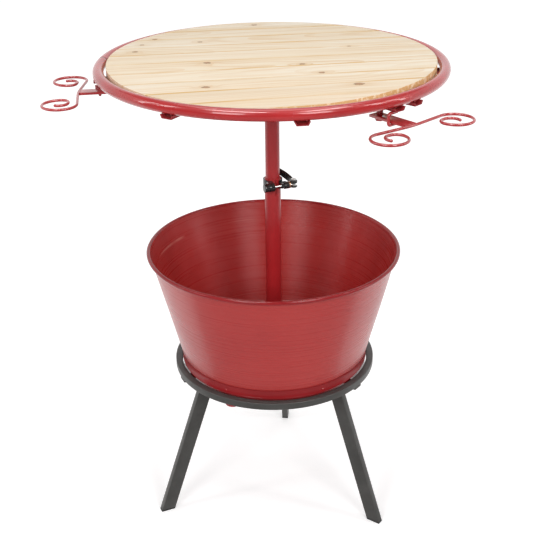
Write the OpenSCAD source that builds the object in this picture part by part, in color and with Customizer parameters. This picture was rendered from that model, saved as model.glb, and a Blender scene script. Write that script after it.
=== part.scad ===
// Round bar table on a telescoping pole that stands in a drinks tub.
// A three-legged stand carries the tub, the pole is bolted through the tub's floor,
// and three swing-out holders for stemmed glasses hang under the table's rim.
// Millimetres. Origin on the floor, on the pole's axis. +Z is up and -Y is the front.

/* [Table top] */
// Height of the boards' top face above the floor
top_height = 866; // [830:1:900]
// Outside diameter of the tubular rim round the boards
rim_d = 600; // [560:5:640]
// Diameter of the rim's round tube
rim_tube_d = 19; // [16:0.5:22]
// Wall of the rim's round tube
rim_tube_wall = 1.2; // [1:0.1:2]
// Thickness of the boards
board_t = 22; // [18:1:25]
// Width of a board
board_w = 57.5; // [52:0.5:62]
// How much narrower the one narrow board is
narrow_board_cut = 9.5; // [5:0.5:15]
// Open seam between two boards
board_seam = 0.5; // [0.3:0.1:1]
// Gap between the boards' round edge and the rim
board_edge_gap = 3.5; // [2:0.5:6]
// Direction of the boards, turned from left-right, in degrees
board_turn = 8; // [0:1:20]

/* [Support arms] */
// Number of arms under the boards
arm_count = 9; // [6:1:9]
// Direction of the first arm, from the front, in degrees
arm_turn = 8.5; // [7:0.5:10]
// Width across the top of an arm's channel
arm_top_w = 24; // [22:1:28]
// Width of the channel's floor
arm_floor_w = 18; // [16:1:20]
// Depth of the channel
arm_h = 6; // [5:0.5:8]
// Thickness of the channel's sheet
arm_sheet = 1.5; // [1:0.1:2]
// Where the arms start, measured from the pole's axis
arm_start_r = 32; // [30:1:40]
// How far the arms stop short of the rim's outside
arm_end_inset = 1; // [0.5:0.5:4]
// Diameter of the plate that joins the arms to the pole
hub_d = 110; // [100:5:130]
// Thickness of that plate
hub_t = 4; // [3:0.5:6]

/* [Board screws] */
// Shank diameter of a board screw
screw_d = 4; // [3.5:0.5:5]
// Head diameter of a board screw
screw_head_d = 8; // [7:0.5:9]
// Head height of a board screw
screw_head_h = 2.4; // [2:0.2:3]
// How far a screw goes into a board
screw_grip = 14; // [10:1:16]

/* [Pole] */
// Outside diameter of the sliding upper tube
upper_tube_d = 25.4; // [24:0.1:27]
// Wall of the upper tube
upper_tube_wall = 1.2; // [1:0.1:1.6]
// Outside diameter of the fixed lower tube
lower_tube_d = 28.6; // [28:0.1:30]
// Radial running clearance between the two tubes
slide_clearance = 0.08; // [0.05:0.01:0.1]
// Height of the lower tube's upper end above the floor
lower_tube_top = 651; // [620:1:660]
// Length of upper tube inside the lower one, at the height shown
tube_overlap = 240; // [200:5:280]
// Length of the slit in the lower tube, under the clamp's gap
slit_l = 30; // [26:1:36]
// Width of that slit
slit_w = 2.5; // [2:0.5:4]
// Diameter of the plate at the foot of the pole
foot_plate_d = 110; // [100:5:120]
// Thickness of that plate
foot_plate_t = 4; // [3:0.5:6]
// Diameter of the bolts through it
foot_bolt_d = 6; // [5:1:8]
// Circle that those bolts lie on
foot_bolt_circle = 82; // [74:1:88]

/* [Clamp] */
// Height of the clamp's band
band_h = 16; // [14:1:18]
// Thickness of the clamp's band
band_t = 3; // [2.5:0.5:4]
// How far the band's upper edge lies under the lower tube's end
band_drop = 2; // [1:0.5:4]
// Turn of the clamp's gap from the front, towards the right, in degrees
clamp_turn = 22; // [0:1:45]
// Width of the gap in the band
clamp_gap = 13.5; // [10:0.5:14]
// Distance of the draw bolt from the pole's axis
draw_bolt_r = 22; // [21:0.5:24]
// Diameter of the clamp's nut and of the ear beside it
nut_d = 15.6; // [14:0.2:16]
// Length of the round nut
nut_l = 8.5; // [7:0.5:12]
// Length of the ear beside the nut
nut_ear_l = 9.5; // [8:0.5:12]
// Length of the ear beside the lever
lever_ear_l = 14; // [11:0.5:15]
// Diameter of the draw bolt
draw_bolt_d = 5; // [4:0.5:6]
// Diameter of the pin that the lever turns on
cam_pin_d = 5; // [4:0.5:6]
// Diameter of the lever's round cam
cam_d = 13.5; // [13:0.5:15]
// Thickness of the lever's blade
lever_t = 4.5; // [3.5:0.5:5.5]
// Height of the lever's blade
lever_h = 12.5; // [10:0.5:13]

/* [Tub] */
// Outside diameter over the tub's rolled edge
tub_edge_d = 462; // [440:2:480]
// Height of the tub
tub_h = 235.4; // [220:1:250]
// Diameter of the tub's upright foot
tub_foot_d = 345.6; // [340:0.2:348]
// Height of the tub's upright foot
tub_foot_h = 30.5; // [26:0.5:36]
// How much the cone's lower end stands out over the foot, all round
tub_step = 2.5; // [1.5:0.5:4]
// Sheet thickness of the tub
tub_sheet = 1; // [0.8:0.1:1.2]
// Diameter of the rolled edge
roll_d = 7; // [6:0.5:8]
// Height of the raised line above the tub's base
seam_z = 14.9; // [14:0.1:17]
// Height of the floor pan's turned-up wall
pan_h = 22; // [21:0.5:24]
// Number of rivets that hold the floor pan
rivet_count = 6; // [4:1:12]
// Diameter of a rivet's head
rivet_head_d = 4.5; // [4:0.5:6]
// Distance of the drain's middle from the wall of the tub's floor pan
drain_inset = 33.8; // [27:0.2:50]
// Direction of the drain, from the front, in degrees
drain_turn = -34; // [-40:1:-25]
// Diameter of the drain's threaded pipe
drain_pipe_d = 20; // [16:1:24]
// Bore of the drain
drain_bore_d = 14; // [8:1:14]

/* [Stand] */
// Height of the stand ring's top above the floor
stand_h = 297; // [285:1:320]
// Gap between the tub's foot and the stand ring round it
ring_tub_gap = 2.5; // [1:0.5:6]
// Side of the ring's square bar
ring_bar = 12.7; // [10:0.1:13]
// Width of the straps under the ring
strap_w = 20; // [16:1:25]
// Thickness of the straps
strap_t = 4; // [3:0.5:6]
// Diameter of the plate where the straps meet
stand_hub_d = 116; // [112:1:130]
// Direction of the first leg, from the front, in degrees
leg_turn = 54.2; // [40:0.1:70]
// Radial depth of a leg's tube
leg_depth = 25.4; // [22:0.2:28]
// Width of a leg's tube
leg_w = 12.7; // [11:0.1:15]
// Wall of a leg's tube
leg_wall = 1.5; // [1:0.1:2]
// How far a leg's outer edge lies inside the stand ring's outside, at the leg's top
leg_inset = 40.3; // [30:0.1:50]
// How far a leg spreads outwards from its top to the floor
leg_spread = 98.6; // [80:0.1:115]
// Thickness of the plastic foot under a leg
foot_t = 3; // [2:0.5:5]

/* [Glass holders] */
// Direction of the right holder, from the front, in degrees
right_turn = 40; // [37:1:41]
// Direction of the left holder, from the front, in degrees
left_turn = -81.5; // [-84:0.5:-80]
// Direction of the rear holder, from the front, in degrees
rear_turn = 160; // [158:1:161]
// Width of a holder's arm
holder_arm_w = 22; // [20:1:25]
// Thickness of a holder's arm
holder_arm_t = 4; // [3:0.5:5]
// How far the holder's arm hangs under the table's arms, from underside to underside
holder_drop = 18; // [16:0.5:24]
// Distance of the holder's pivot from the ring's outer edge
pivot_inset = 43; // [38:1:48]
// Distance of the arm's inner end from the pivot
holder_tail = 12; // [10:1:15]
// Distance of the glass wire from the pivot, at the arm's end
holder_reach = 68; // [58:1:78]
// Diameter of the glass wire
wire_d = 4.8; // [4:0.1:5.5]
// Radius of the wire's outer loop
loop_r = 28; // [26:0.5:31]
// Radius of the curl inside the loop
curl_r = 14; // [12:0.5:14]
// Distance of the loop's middle from the arm's middle
loop_offset = 71.5; // [66:0.5:78]
// How far the wire slopes towards the table on its way to the loop, in degrees
wire_slope = 5.5; // [3:0.5:7]
// Radius of the wire's bow across the arm's end
wire_bow_r = 200; // [150:10:300]
// How far the right wire is welded askew, in degrees
right_wire_skew = 0; // [-8:0.5:8]
// How far the left wire is welded askew, in degrees
left_wire_skew = -6; // [-8:0.5:8]
// How far the rear wire is welded askew, in degrees
rear_wire_skew = 0; // [-8:0.5:8]
// Diameter of the pivot's post
post_d = 10.5; // [10:0.5:12]
// Diameter of the journal that the arm turns on
journal_d = 8; // [6:0.5:8]
// Radial running clearance of the journal, the lever and the drain's cap
pivot_clearance = 0.08; // [0.05:0.01:0.1]
// Distance of the rest hook from the ring's outer edge
hook_inset = 10; // [8:1:14]
// Diameter of the rest hook's rod
hook_d = 5; // [4:0.5:6]

/* [Hidden] */
$fn = 96;

RED = [0.66, 0.14, 0.15];
DARK_RED = [0.52, 0.10, 0.12];
BLACK = [0.20, 0.20, 0.19];
GLOSS_BLACK = [0.07, 0.07, 0.07];
BRIGHT = [0.78, 0.78, 0.77];
PINE = [0.91, 0.83, 0.69];
over = 1; // how far a cutting shape runs past the face that it cuts

// Heights that several pieces share
ring_under_z = stand_h - ring_bar;
strap_under_z = ring_under_z - strap_t;
pan_top_z = ring_under_z + tub_sheet;
foot_plate_top_z = pan_top_z + foot_plate_t;
boards_under_z = top_height - board_t;
arm_floor_z = boards_under_z - arm_h;
hub_under_z = arm_floor_z - hub_t;
rim_z = boards_under_z + rim_tube_d / 2;
rim_r = (rim_d - rim_tube_d) / 2;
boards_r = rim_d / 2 - rim_tube_d - board_edge_gap;
arm_end_r = rim_d / 2 - arm_end_inset;
holder_z = arm_floor_z - holder_drop;
pivot_r = rim_d / 2 - pivot_inset;
hook_r = rim_d / 2 - hook_inset;
holder_start_r = pivot_r - holder_tail;
wire_r = pivot_r + holder_reach;

// Distances from the pole's axis that follow the tub's foot
tub_foot_r = tub_foot_d / 2;
pan_r = tub_foot_r - tub_sheet;
drain_r = pan_r - drain_inset;
stand_ring_r = tub_foot_r + ring_tub_gap + ring_bar;
leg_top_r = stand_ring_r - leg_inset;
foot_r = leg_top_r + leg_spread;

// Direction of each holder and leg, from the front towards the right
holder_turns = [right_turn, left_turn, rear_turn];
holder_strap_tail = 21;
holder_strap_start_r = pivot_r - holder_strap_tail;
leg_turns = [leg_turn, leg_turn - 120, leg_turn + 120];

// Turns a piece drawn along -Y about the pole, by an angle from the front
module turned(turn) {
  rotate([0, 0, turn])
    children();
}

// A round bar or hole along Z, from one height to another
module upright(d, z_low, z_high) {
  translate([0, 0, z_low])
    cylinder(d = d, h = z_high - z_low);
}

// A hexagon prism with a bore, for nuts
module hex_nut(across_flats, h, bore_d) {
  difference() {
    cylinder(d = across_flats / cos(30), h = h, $fn = 6);
    translate([0, 0, -over])
      cylinder(d = bore_d, h = h + 2 * over);
  }
}

// Boards. A board's place is its distance from the pole, square to the seams.
seam_shift = 1;
boards_left_of_pole = 4;
seam_start = -boards_left_of_pole * board_w - seam_shift;
narrow_index = 6;
function seam_at(i) =
  seam_start + (i - 1) * board_w - (i > narrow_index ? narrow_board_cut : 0);
board_count = 10;
function board_low(i) = i == 1 ? -boards_r - over : seam_at(i - 1) + board_seam / 2;
function board_high(i) = i == board_count ? boards_r + over : seam_at(i) - board_seam / 2;
function board_middle(i) =
  (max(board_low(i), -boards_r) + min(board_high(i), boards_r)) / 2;

// Screws. An arm that crosses the boards has one in the middle of every board that it passes
// under, and an arm that runs nearly along them has a staggered row.
function arm_direction(arm) = arm_turn + arm * 360 / arm_count;
screw_end_gap = 33;
screw_reach = [hub_d / 2 + screw_head_d, arm_end_r - screw_end_gap];
row_rs = [95, 175, 245];
screw_shift = 6;
least_slant = 0.3;
strap_screw_in = 4;
strap_screw_r = holder_strap_start_r + strap_screw_in;
function slant(turn) = cos(turn - board_turn);
function crossing_rs(turn) = [
  for (i = [1 : board_count])
    let (r = -board_middle(i) / slant(turn))
      if (r > screw_reach[0] && r < screw_reach[1])
        r
];
// Each entry is a direction, a distance from the pole and a shift to one side
screws = concat(
  [for (arm = [0 : arm_count - 1])
    let (turn = arm_direction(arm))
      if (abs(slant(turn)) > least_slant)
        for (r = crossing_rs(turn))
          [turn, r, 0]],
  [for (arm = [0 : arm_count - 1])
    let (turn = arm_direction(arm))
      if (abs(slant(turn)) <= least_slant)
        for (i = [0 : len(row_rs) - 1])
          [turn, row_rs[i], i % 2 == 0 ? screw_shift : -screw_shift]],
  [for (turn = holder_turns)
    [turn, strap_screw_r, screw_shift]]
);
module at_screws() {
  for (screw = screws)
    turned(screw[0])
      translate([screw[2], -screw[1], 0])
        children();
}

// Table rim: a hollow round tube, with a fine groove where its ends are butted
joint_turn = -95;
joint_deg = 0.12;
joint_depth = 0.4;
module rim_section(d) {
  translate([rim_r, 0])
    circle(d = d);
}
module table_rim() {
  color(RED)
    translate([0, 0, rim_z])
      difference() {
        rotate_extrude()
          difference() {
            rim_section(rim_tube_d);
            rim_section(rim_tube_d - 2 * rim_tube_wall);
          }
        rotate([0, 0, joint_turn - 90])
          rotate_extrude(angle = joint_deg)
            difference() {
              rim_section(rim_tube_d + over);
              rim_section(rim_tube_d - 2 * joint_depth);
            }
      }
}

// One board: a strip of the round top, drilled from below for its screws
module board(i) {
  color(PINE)
    difference() {
      intersection() {
        upright(2 * boards_r, boards_under_z, top_height);
        turned(board_turn)
          translate([-rim_d / 2, board_low(i), boards_under_z])
            cube([rim_d, board_high(i) - board_low(i), board_t]);
      }
      at_screws()
        upright(screw_d, boards_under_z - over, boards_under_z + screw_grip);
    }
}

// Arm or strap: an open-topped channel with sloping sides, along -Y
module channel(start_r, end_r) {
  outer = [
    [-arm_floor_w / 2, 0],
    [arm_floor_w / 2, 0],
    [arm_top_w / 2, arm_h],
    [-arm_top_w / 2, arm_h]
  ];
  inner_floor = arm_floor_w / 2 - arm_sheet;
  inner_top = arm_top_w / 2 - arm_sheet;
  inner = [
    [-inner_floor, arm_sheet],
    [inner_floor, arm_sheet],
    [inner_top, arm_h + over],
    [-inner_top, arm_h + over]
  ];
  translate([0, -start_r, arm_floor_z])
    rotate([90, 0, 0])
      linear_extrude(height = end_r - start_r)
        difference() {
          polygon(outer);
          polygon(inner);
        }
}
// A channel under the boards, with holes in its floor for the screws
module table_channel(turn, start_r) {
  color(RED)
    difference() {
      turned(turn)
        channel(start_r, arm_end_r);
      at_screws()
        upright(screw_d, arm_floor_z - over, arm_floor_z + arm_h);
    }
}
module table_arm(arm) {
  table_channel(arm_direction(arm - 1), arm_start_r);
}
module holder_strap(turn) {
  table_channel(turn, holder_strap_start_r);
}

// Board screws: pan heads under the channels, shanks up into the boards
module board_screws() {
  color(BRIGHT)
    at_screws() {
      upright(screw_head_d, arm_floor_z - screw_head_h, arm_floor_z);
      upright(screw_d, arm_floor_z - screw_head_h, boards_under_z + screw_grip);
    }
}

// Plate that is welded on the upper tube and carries the arms
module hub_plate() {
  color(RED)
    upright(hub_d, hub_under_z, arm_floor_z);
}

// Pole
upper_tube_low = lower_tube_top - tube_overlap;
upper_tube_bore = upper_tube_d - 2 * upper_tube_wall;
lower_tube_bore = upper_tube_d + 2 * slide_clearance;
module upper_tube() {
  color(RED)
    difference() {
      upright(upper_tube_d, upper_tube_low, hub_under_z);
      upright(upper_tube_bore, upper_tube_low - over, hub_under_z + over);
    }
}
module lower_tube() {
  color(RED)
    difference() {
      upright(lower_tube_d, foot_plate_top_z, lower_tube_top);
      upright(lower_tube_bore, foot_plate_top_z - over, lower_tube_top + over);
      turned(clamp_turn)
        translate([-slit_w / 2, -lower_tube_d, lower_tube_top - slit_l])
          cube([slit_w, lower_tube_d, slit_l + over]);
    }
}

// Plastic bush under the upper tube: it slides in the lower tube, and the tube turns on it
bush_flange_h = 8;
bush_spigot_h = 26;
bush_wall = 3;
module guide_bush() {
  spigot_d = upper_tube_bore - 2 * slide_clearance;
  color(GLOSS_BLACK)
    difference() {
      union() {
        upright(upper_tube_d, upper_tube_low - bush_flange_h, upper_tube_low);
        upright(spigot_d, upper_tube_low - bush_flange_h, upper_tube_low + bush_spigot_h);
      }
      upright(spigot_d - 2 * bush_wall, upper_tube_low - bush_flange_h - over,
              upper_tube_low + bush_spigot_h + over);
    }
}

// Foot plate with its weld bead, and the four bolts that hold it through the tub's floor
foot_bolt_count = 4;
weld_leg = 3;
bolt_head_flats = 10;
bolt_head_h = 4;
bolt_nut_h = 5;
bolt_end_l = 2;
foot_bolt_turn = 45;
module at_foot_bolts() {
  for (i = [0 : foot_bolt_count - 1])
    turned(i * 360 / foot_bolt_count + foot_bolt_turn)
      translate([0, -foot_bolt_circle / 2, 0])
        children();
}
module pole_foot_plate() {
  color(RED)
    difference() {
      union() {
        upright(foot_plate_d, pan_top_z, foot_plate_top_z);
        rotate_extrude()
          translate([lower_tube_d / 2, foot_plate_top_z])
            polygon([[0, 0], [weld_leg, 0], [0, weld_leg]]);
      }
      at_foot_bolts()
        upright(foot_bolt_d, pan_top_z - over, foot_plate_top_z + over);
    }
}
module foot_plate_bolts() {
  color(BRIGHT)
    at_foot_bolts() {
      upright(foot_bolt_d, strap_under_z - bolt_nut_h - bolt_end_l, foot_plate_top_z);
      translate([0, 0, foot_plate_top_z])
        cylinder(d = bolt_head_flats / cos(30), h = bolt_head_h, $fn = 6);
    }
}
module foot_plate_nuts() {
  color(BRIGHT)
    at_foot_bolts()
      translate([0, 0, strap_under_z - bolt_nut_h])
        hex_nut(bolt_head_flats, bolt_nut_h, foot_bolt_d);
}

// Clamp. In its own frame the gap is at -Y, the draw bolt runs along X and Z is 0 at half height.
band_top_z = lower_tube_top - band_drop;
clamp_z = band_top_z - band_h / 2;
band_r = lower_tube_d / 2 + band_t;
draw_y = -draw_bolt_r;
draw_bolt_play = 0.08;
nut_gap = 0.3;
nut_start_x = -clamp_gap / 2 - nut_ear_l;
lever_ear_x = clamp_gap / 2 + lever_ear_l;
module clamp_frame() {
  turned(clamp_turn)
    translate([0, 0, clamp_z])
      children();
}
// A round bar along the draw bolt
module along_draw(d, x_low, x_high) {
  translate([x_low, draw_y, 0])
    rotate([0, 90, 0])
      cylinder(d = d, h = x_high - x_low);
}
// A round bar along the lever's pin
module along_pin(d, z_low, z_high) {
  translate([cam_x, draw_y, z_low])
    cylinder(d = d, h = z_high - z_low);
}
// Band with a round ear on the nut's side, and a neck and a boss on the lever's side
neck_h = 8;
neck_front = 3.5;
neck_end_gap = 1;
boss_d = 12.6;
boss_l = 8;
module clamp_band() {
  color(GLOSS_BLACK)
    clamp_frame()
      difference() {
        union() {
          cylinder(r = band_r, h = band_h, center = true);
          along_draw(nut_d, nut_start_x, -clamp_gap / 2);
          translate([nut_start_x, draw_y, -nut_d / 2])
            cube([nut_ear_l, draw_bolt_r - lower_tube_d / 2 + band_t, nut_d]);
          along_draw(boss_d, lever_ear_x - boss_l, lever_ear_x);
          translate([clamp_gap / 2, draw_y - neck_front, -neck_h / 2])
            cube([lever_ear_l - neck_end_gap, neck_front + draw_bolt_r - lower_tube_d / 2 + band_t, neck_h]);
        }
        cylinder(d = lower_tube_d, h = band_h + 2 * over, center = true);
        translate([-clamp_gap / 2, -2 * draw_bolt_r, -band_h])
          cube([clamp_gap, 2 * draw_bolt_r, 2 * band_h]);
        along_draw(draw_bolt_d + 2 * draw_bolt_play, nut_start_x - over, lever_ear_x + over);
      }
}
nut_floor = 3;
module clamp_nut() {
  nut_x = nut_start_x - nut_gap - nut_l;
  color(GLOSS_BLACK)
    clamp_frame()
      difference() {
        along_draw(nut_d, nut_x, nut_x + nut_l);
        along_draw(draw_bolt_d + 2 * pivot_clearance, nut_x + nut_floor, nut_x + nut_l + over);
      }
}
// A copper-toned cup washer and a steel one, between the boss and the cam
cup_washer_d = 12.6;
steel_washer_d = 11.5;
washer_t = 1.6;
washer_gap = 0.1;
cam_gap = 0.2;
washers_end_x = lever_ear_x + 2 * washer_t + washer_gap;
cam_x = washers_end_x + cam_gap + cam_d / 2;
module clamp_washers() {
  color([0.72, 0.55, 0.38])
    clamp_frame()
      difference() {
        union() {
          along_draw(cup_washer_d, lever_ear_x, lever_ear_x + washer_t);
          along_draw(steel_washer_d, washers_end_x - washer_t, washers_end_x);
        }
        along_draw(draw_bolt_d, lever_ear_x - over, washers_end_x + over);
      }
}
eye_d = 9;
eye_h = 5.6;
eye_gap = 0.3;
module clamp_draw_bolt() {
  color(BRIGHT)
    clamp_frame()
      difference() {
        union() {
          along_draw(draw_bolt_d, nut_start_x - nut_l + nut_floor, cam_x);
          along_pin(eye_d, -eye_h / 2, eye_h / 2);
        }
        along_pin(cam_pin_d, -eye_h, eye_h);
      }
}
pin_head_d = 9;
pin_head_h = 2.6;
pin_socket_flats = 4;
pin_socket_depth = 1.7;
cam_top_z = 7.5;
cam_low_z = -5;
pin_head_gap = 0.2;
module clamp_cam_pin() {
  head_z = cam_top_z + pin_head_gap;
  color(BRIGHT)
    clamp_frame()
      difference() {
        union() {
          along_pin(cam_pin_d, cam_low_z, head_z);
          along_pin(pin_head_d, head_z, head_z + pin_head_h);
        }
        translate([cam_x, draw_y, head_z + pin_head_h - pin_socket_depth])
          cylinder(d = pin_socket_flats / cos(30), h = pin_head_h, $fn = 6);
      }
}
// Lever: a cam that is slotted for the bolt's eye, and a blade that climbs as it curls round the tube
blade_end_r = 24.5;
blade_start_z = 1;
blade_rise = 18;
blade_end_turn = 68;
blade_steps = 6;
blade_start_in = 2;
blade_start_ahead = 8;
blade_start_r = norm([cam_x, draw_y]) - blade_start_in;
blade_start_turn = atan2(draw_y, cam_x) + blade_start_ahead;
slot_side = draw_bolt_d / 2 + eye_gap;
function blade_r(t) = blade_end_r + (blade_start_r - blade_end_r) * pow(1 - t, 2.2);
module blade_slice(t) {
  rotate([0, 0, blade_start_turn + t * (blade_end_turn - blade_start_turn)])
    translate([blade_r(t), 0, blade_start_z + blade_rise * pow(t, 1.2)])
      cylinder(d = lever_t, h = lever_h, center = true, $fn = 24);
}
module clamp_lever() {
  color(GLOSS_BLACK)
    clamp_frame()
      difference() {
        union() {
          along_pin(cam_d, cam_low_z, cam_top_z);
          for (i = [0 : blade_steps - 1])
            hull() {
              blade_slice(i / blade_steps);
              blade_slice((i + 1) / blade_steps);
            }
        }
        along_pin(cam_pin_d + 2 * pivot_clearance, cam_low_z - over, cam_top_z + over);
        along_pin(eye_d + 2 * eye_gap, -eye_h / 2 - eye_gap, eye_h / 2 + eye_gap);
        translate([cam_x - cam_d, draw_y - cam_d, -eye_h / 2 - eye_gap])
          cube([2 * cam_d, cam_d + slot_side, eye_h + 2 * eye_gap]);
      }
}

// Tub
roll_r = (tub_edge_d - roll_d) / 2;
roll_z = ring_under_z + tub_h - roll_d / 2;
wall_top_r = roll_r - roll_d / 2 + tub_sheet;
seam_bulge = 1.2;
seam_half_h = 2;
tub_step_h = 3;
// The wall's outside, from the base up, as radius and height above the base
wall_outline = [
  [tub_foot_r, 0],
  [tub_foot_r, seam_z - seam_half_h],
  [tub_foot_r + seam_bulge, seam_z - seam_half_h / 3],
  [tub_foot_r + seam_bulge, seam_z + seam_half_h / 3],
  [tub_foot_r, seam_z + seam_half_h],
  [tub_foot_r, tub_foot_h],
  [tub_foot_r + tub_step, tub_foot_h + tub_step_h],
  [wall_top_r, roll_z - ring_under_z]
];
wall_inside = [for (i = [len(wall_outline) - 1 : -1 : 0]) wall_outline[i] - [tub_sheet, 0]];
rivet_gap = 0.3;
rivet_z = seam_z + seam_half_h + rivet_gap + rivet_head_d / 2;
rivet_shank_d = 3.2;
rivet_head_t = 1.4;
rivet_tail_d = rivet_head_d - 1;
module at_rivets() {
  for (i = [0 : rivet_count - 1])
    turned((i + 0.5) * 360 / rivet_count)
      translate([0, -tub_foot_r, ring_under_z + rivet_z])
        rotate([90, 0, 0])
          children();
}
module rivet_holes() {
  at_rivets()
    translate([0, 0, -3 * tub_sheet])
      cylinder(d = rivet_shank_d, h = 4 * tub_sheet);
}
module tub_wall() {
  color(RED)
    difference() {
      union() {
        translate([0, 0, ring_under_z])
          rotate_extrude()
            polygon(concat(wall_outline, wall_inside));
        translate([0, 0, roll_z])
          rotate_extrude()
            translate([roll_r, 0])
              difference() {
                circle(d = roll_d);
                circle(d = roll_d - 2 * tub_sheet);
              }
      }
      rivet_holes();
    }
}
module at_drain() {
  turned(drain_turn)
    translate([0, -drain_r, 0])
      children();
}
module tub_floor_pan() {
  color(RED)
    difference() {
      upright(2 * pan_r, ring_under_z, ring_under_z + pan_h);
      upright(2 * (pan_r - tub_sheet), pan_top_z, ring_under_z + pan_h + over);
      rivet_holes();
      at_foot_bolts()
        upright(foot_bolt_d, ring_under_z - over, pan_top_z + over);
      at_drain()
        upright(drain_pipe_d, ring_under_z - over, pan_top_z + over);
    }
}
module tub_rivets() {
  color(RED)
    at_rivets() {
      translate([0, 0, -2 * tub_sheet])
        cylinder(d = rivet_shank_d, h = 2 * tub_sheet);
      cylinder(d1 = rivet_head_d, d2 = rivet_head_d / 2, h = rivet_head_t);
      translate([0, 0, -2 * tub_sheet - rivet_head_t / 2])
        cylinder(d = rivet_tail_d, h = rivet_head_t / 2);
    }
}

// Drain: a flanged pipe through the floor, its gasket, its nut and a screw cap
gasket_t = 2;
drain_flange_t = 3;
drain_flange_w = 7;
gasket_inset = 1;
drain_nut_h = 7;
drain_nut_wall = 5;
cap_wall = 3.5;
cap_h = 19;
cap_drop = 12;
cap_ribs = 16;
cap_rib_d = 2.4;
cap_rib_sink = 0.5;
cap_rib_margin = 2;
cap_floor_gap = 1;
drain_flange_d = drain_pipe_d + 2 * drain_flange_w;
drain_low_z = ring_under_z - cap_drop - cap_h + cap_wall + cap_floor_gap;
module drain_gasket() {
  color(BLACK)
    at_drain()
      difference() {
        upright(drain_flange_d - 2 * gasket_inset, pan_top_z, pan_top_z + gasket_t);
        upright(drain_pipe_d, pan_top_z - over, pan_top_z + gasket_t + over);
      }
}
module drain_pipe() {
  color(DARK_RED)
    at_drain()
      difference() {
        union() {
          upright(drain_flange_d, pan_top_z + gasket_t, pan_top_z + gasket_t + drain_flange_t);
          upright(drain_pipe_d, drain_low_z, pan_top_z + gasket_t + drain_flange_t);
        }
        upright(drain_bore_d, drain_low_z - over, pan_top_z + gasket_t + drain_flange_t + over);
      }
}
module drain_nut() {
  color(DARK_RED)
    at_drain()
      translate([0, 0, ring_under_z - drain_nut_h])
        hex_nut(drain_pipe_d + 2 * drain_nut_wall, drain_nut_h, drain_pipe_d);
}
module drain_cap() {
  cap_d = drain_pipe_d + 2 * cap_wall;
  cap_low_z = ring_under_z - cap_drop - cap_h;
  color(RED)
    at_drain()
      translate([0, 0, cap_low_z])
        difference() {
          union() {
            cylinder(d = cap_d, h = cap_h);
            for (i = [0 : cap_ribs - 1])
              rotate([0, 0, i * 360 / cap_ribs])
                translate([cap_d / 2 - cap_rib_sink, 0, cap_rib_margin])
                  cylinder(d = cap_rib_d, h = cap_h - 2 * cap_rib_margin, $fn = 24);
          }
          translate([0, 0, cap_wall])
            cylinder(d = drain_pipe_d + 2 * pivot_clearance, h = cap_h);
        }
}

// Stand
module stand_ring() {
  color(BLACK)
    translate([0, 0, ring_under_z])
      rotate_extrude()
        translate([stand_ring_r - ring_bar, 0])
          square(ring_bar);
}
module stand_straps() {
  color(BLACK)
    for (turn = leg_turns)
      turned(turn)
        difference() {
          intersection() {
            translate([-strap_w / 2, -stand_ring_r, strap_under_z])
              cube([strap_w, stand_ring_r, strap_t]);
            upright(2 * stand_ring_r, strap_under_z, ring_under_z);
          }
          upright(stand_hub_d, strap_under_z - over, ring_under_z + over);
        }
}
module stand_hub() {
  color(BLACK)
    difference() {
      upright(stand_hub_d, strap_under_z, ring_under_z);
      at_foot_bolts()
        upright(foot_bolt_d, strap_under_z - over, ring_under_z + over);
    }
}

// Leg. Its outline is drawn as distance from the pole against height.
leg_lean = (foot_r - leg_top_r) / strap_under_z;
leg_angle = atan(leg_lean);
leg_cut = leg_depth / cos(leg_angle);
wall_cut = leg_wall / cos(leg_angle);
plug_h = 22;
function leg_outer(z) = foot_r - leg_lean * z;
function leg_slice(z_low, z_high, inset) = [
  [leg_outer(z_low) - inset, z_low],
  [leg_outer(z_low) - leg_cut + inset, z_low],
  [leg_outer(z_high) - leg_cut + inset, z_high],
  [leg_outer(z_high) - inset, z_high]
];
module leg_prism(turn, z_low, z_high, inset, width) {
  turned(turn - 90)
    translate([0, width / 2, 0])
      rotate([90, 0, 0])
        linear_extrude(height = width)
          polygon(leg_slice(z_low, z_high, inset));
}
module leg(turn) {
  color(BLACK)
    difference() {
      leg_prism(turn, foot_t, strap_under_z, 0, leg_w);
      leg_prism(turn, foot_t - over, strap_under_z + over, wall_cut, leg_w - 2 * leg_wall);
    }
}
// Plastic feet that plug into the legs
module feet() {
  color(GLOSS_BLACK)
    for (turn = leg_turns) {
      leg_prism(turn, 0, foot_t, 0, leg_w);
      leg_prism(turn, foot_t, plug_h, wall_cut, leg_w - 2 * leg_wall);
    }
}

// Glass holders
holder_top_z = holder_z + holder_arm_t;
wire_z = holder_z + holder_arm_t / 2;
pivot_gap = 0.3;
pivot_nut_h = 4.5;
pivot_nut_flats = 13;
module at_holders() {
  for (turn = holder_turns)
    turned(turn)
      children();
}
module pivot_posts() {
  color(DARK_RED)
    at_holders()
      translate([0, -pivot_r, 0]) {
        upright(post_d, holder_top_z + pivot_gap, arm_floor_z);
        upright(journal_d, holder_z - pivot_gap - pivot_nut_h, holder_top_z + pivot_gap);
      }
}
module pivot_nuts() {
  color(RED)
    at_holders()
      translate([0, -pivot_r, holder_z - pivot_gap - pivot_nut_h])
        hex_nut(pivot_nut_flats, pivot_nut_h, journal_d);
}

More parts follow.
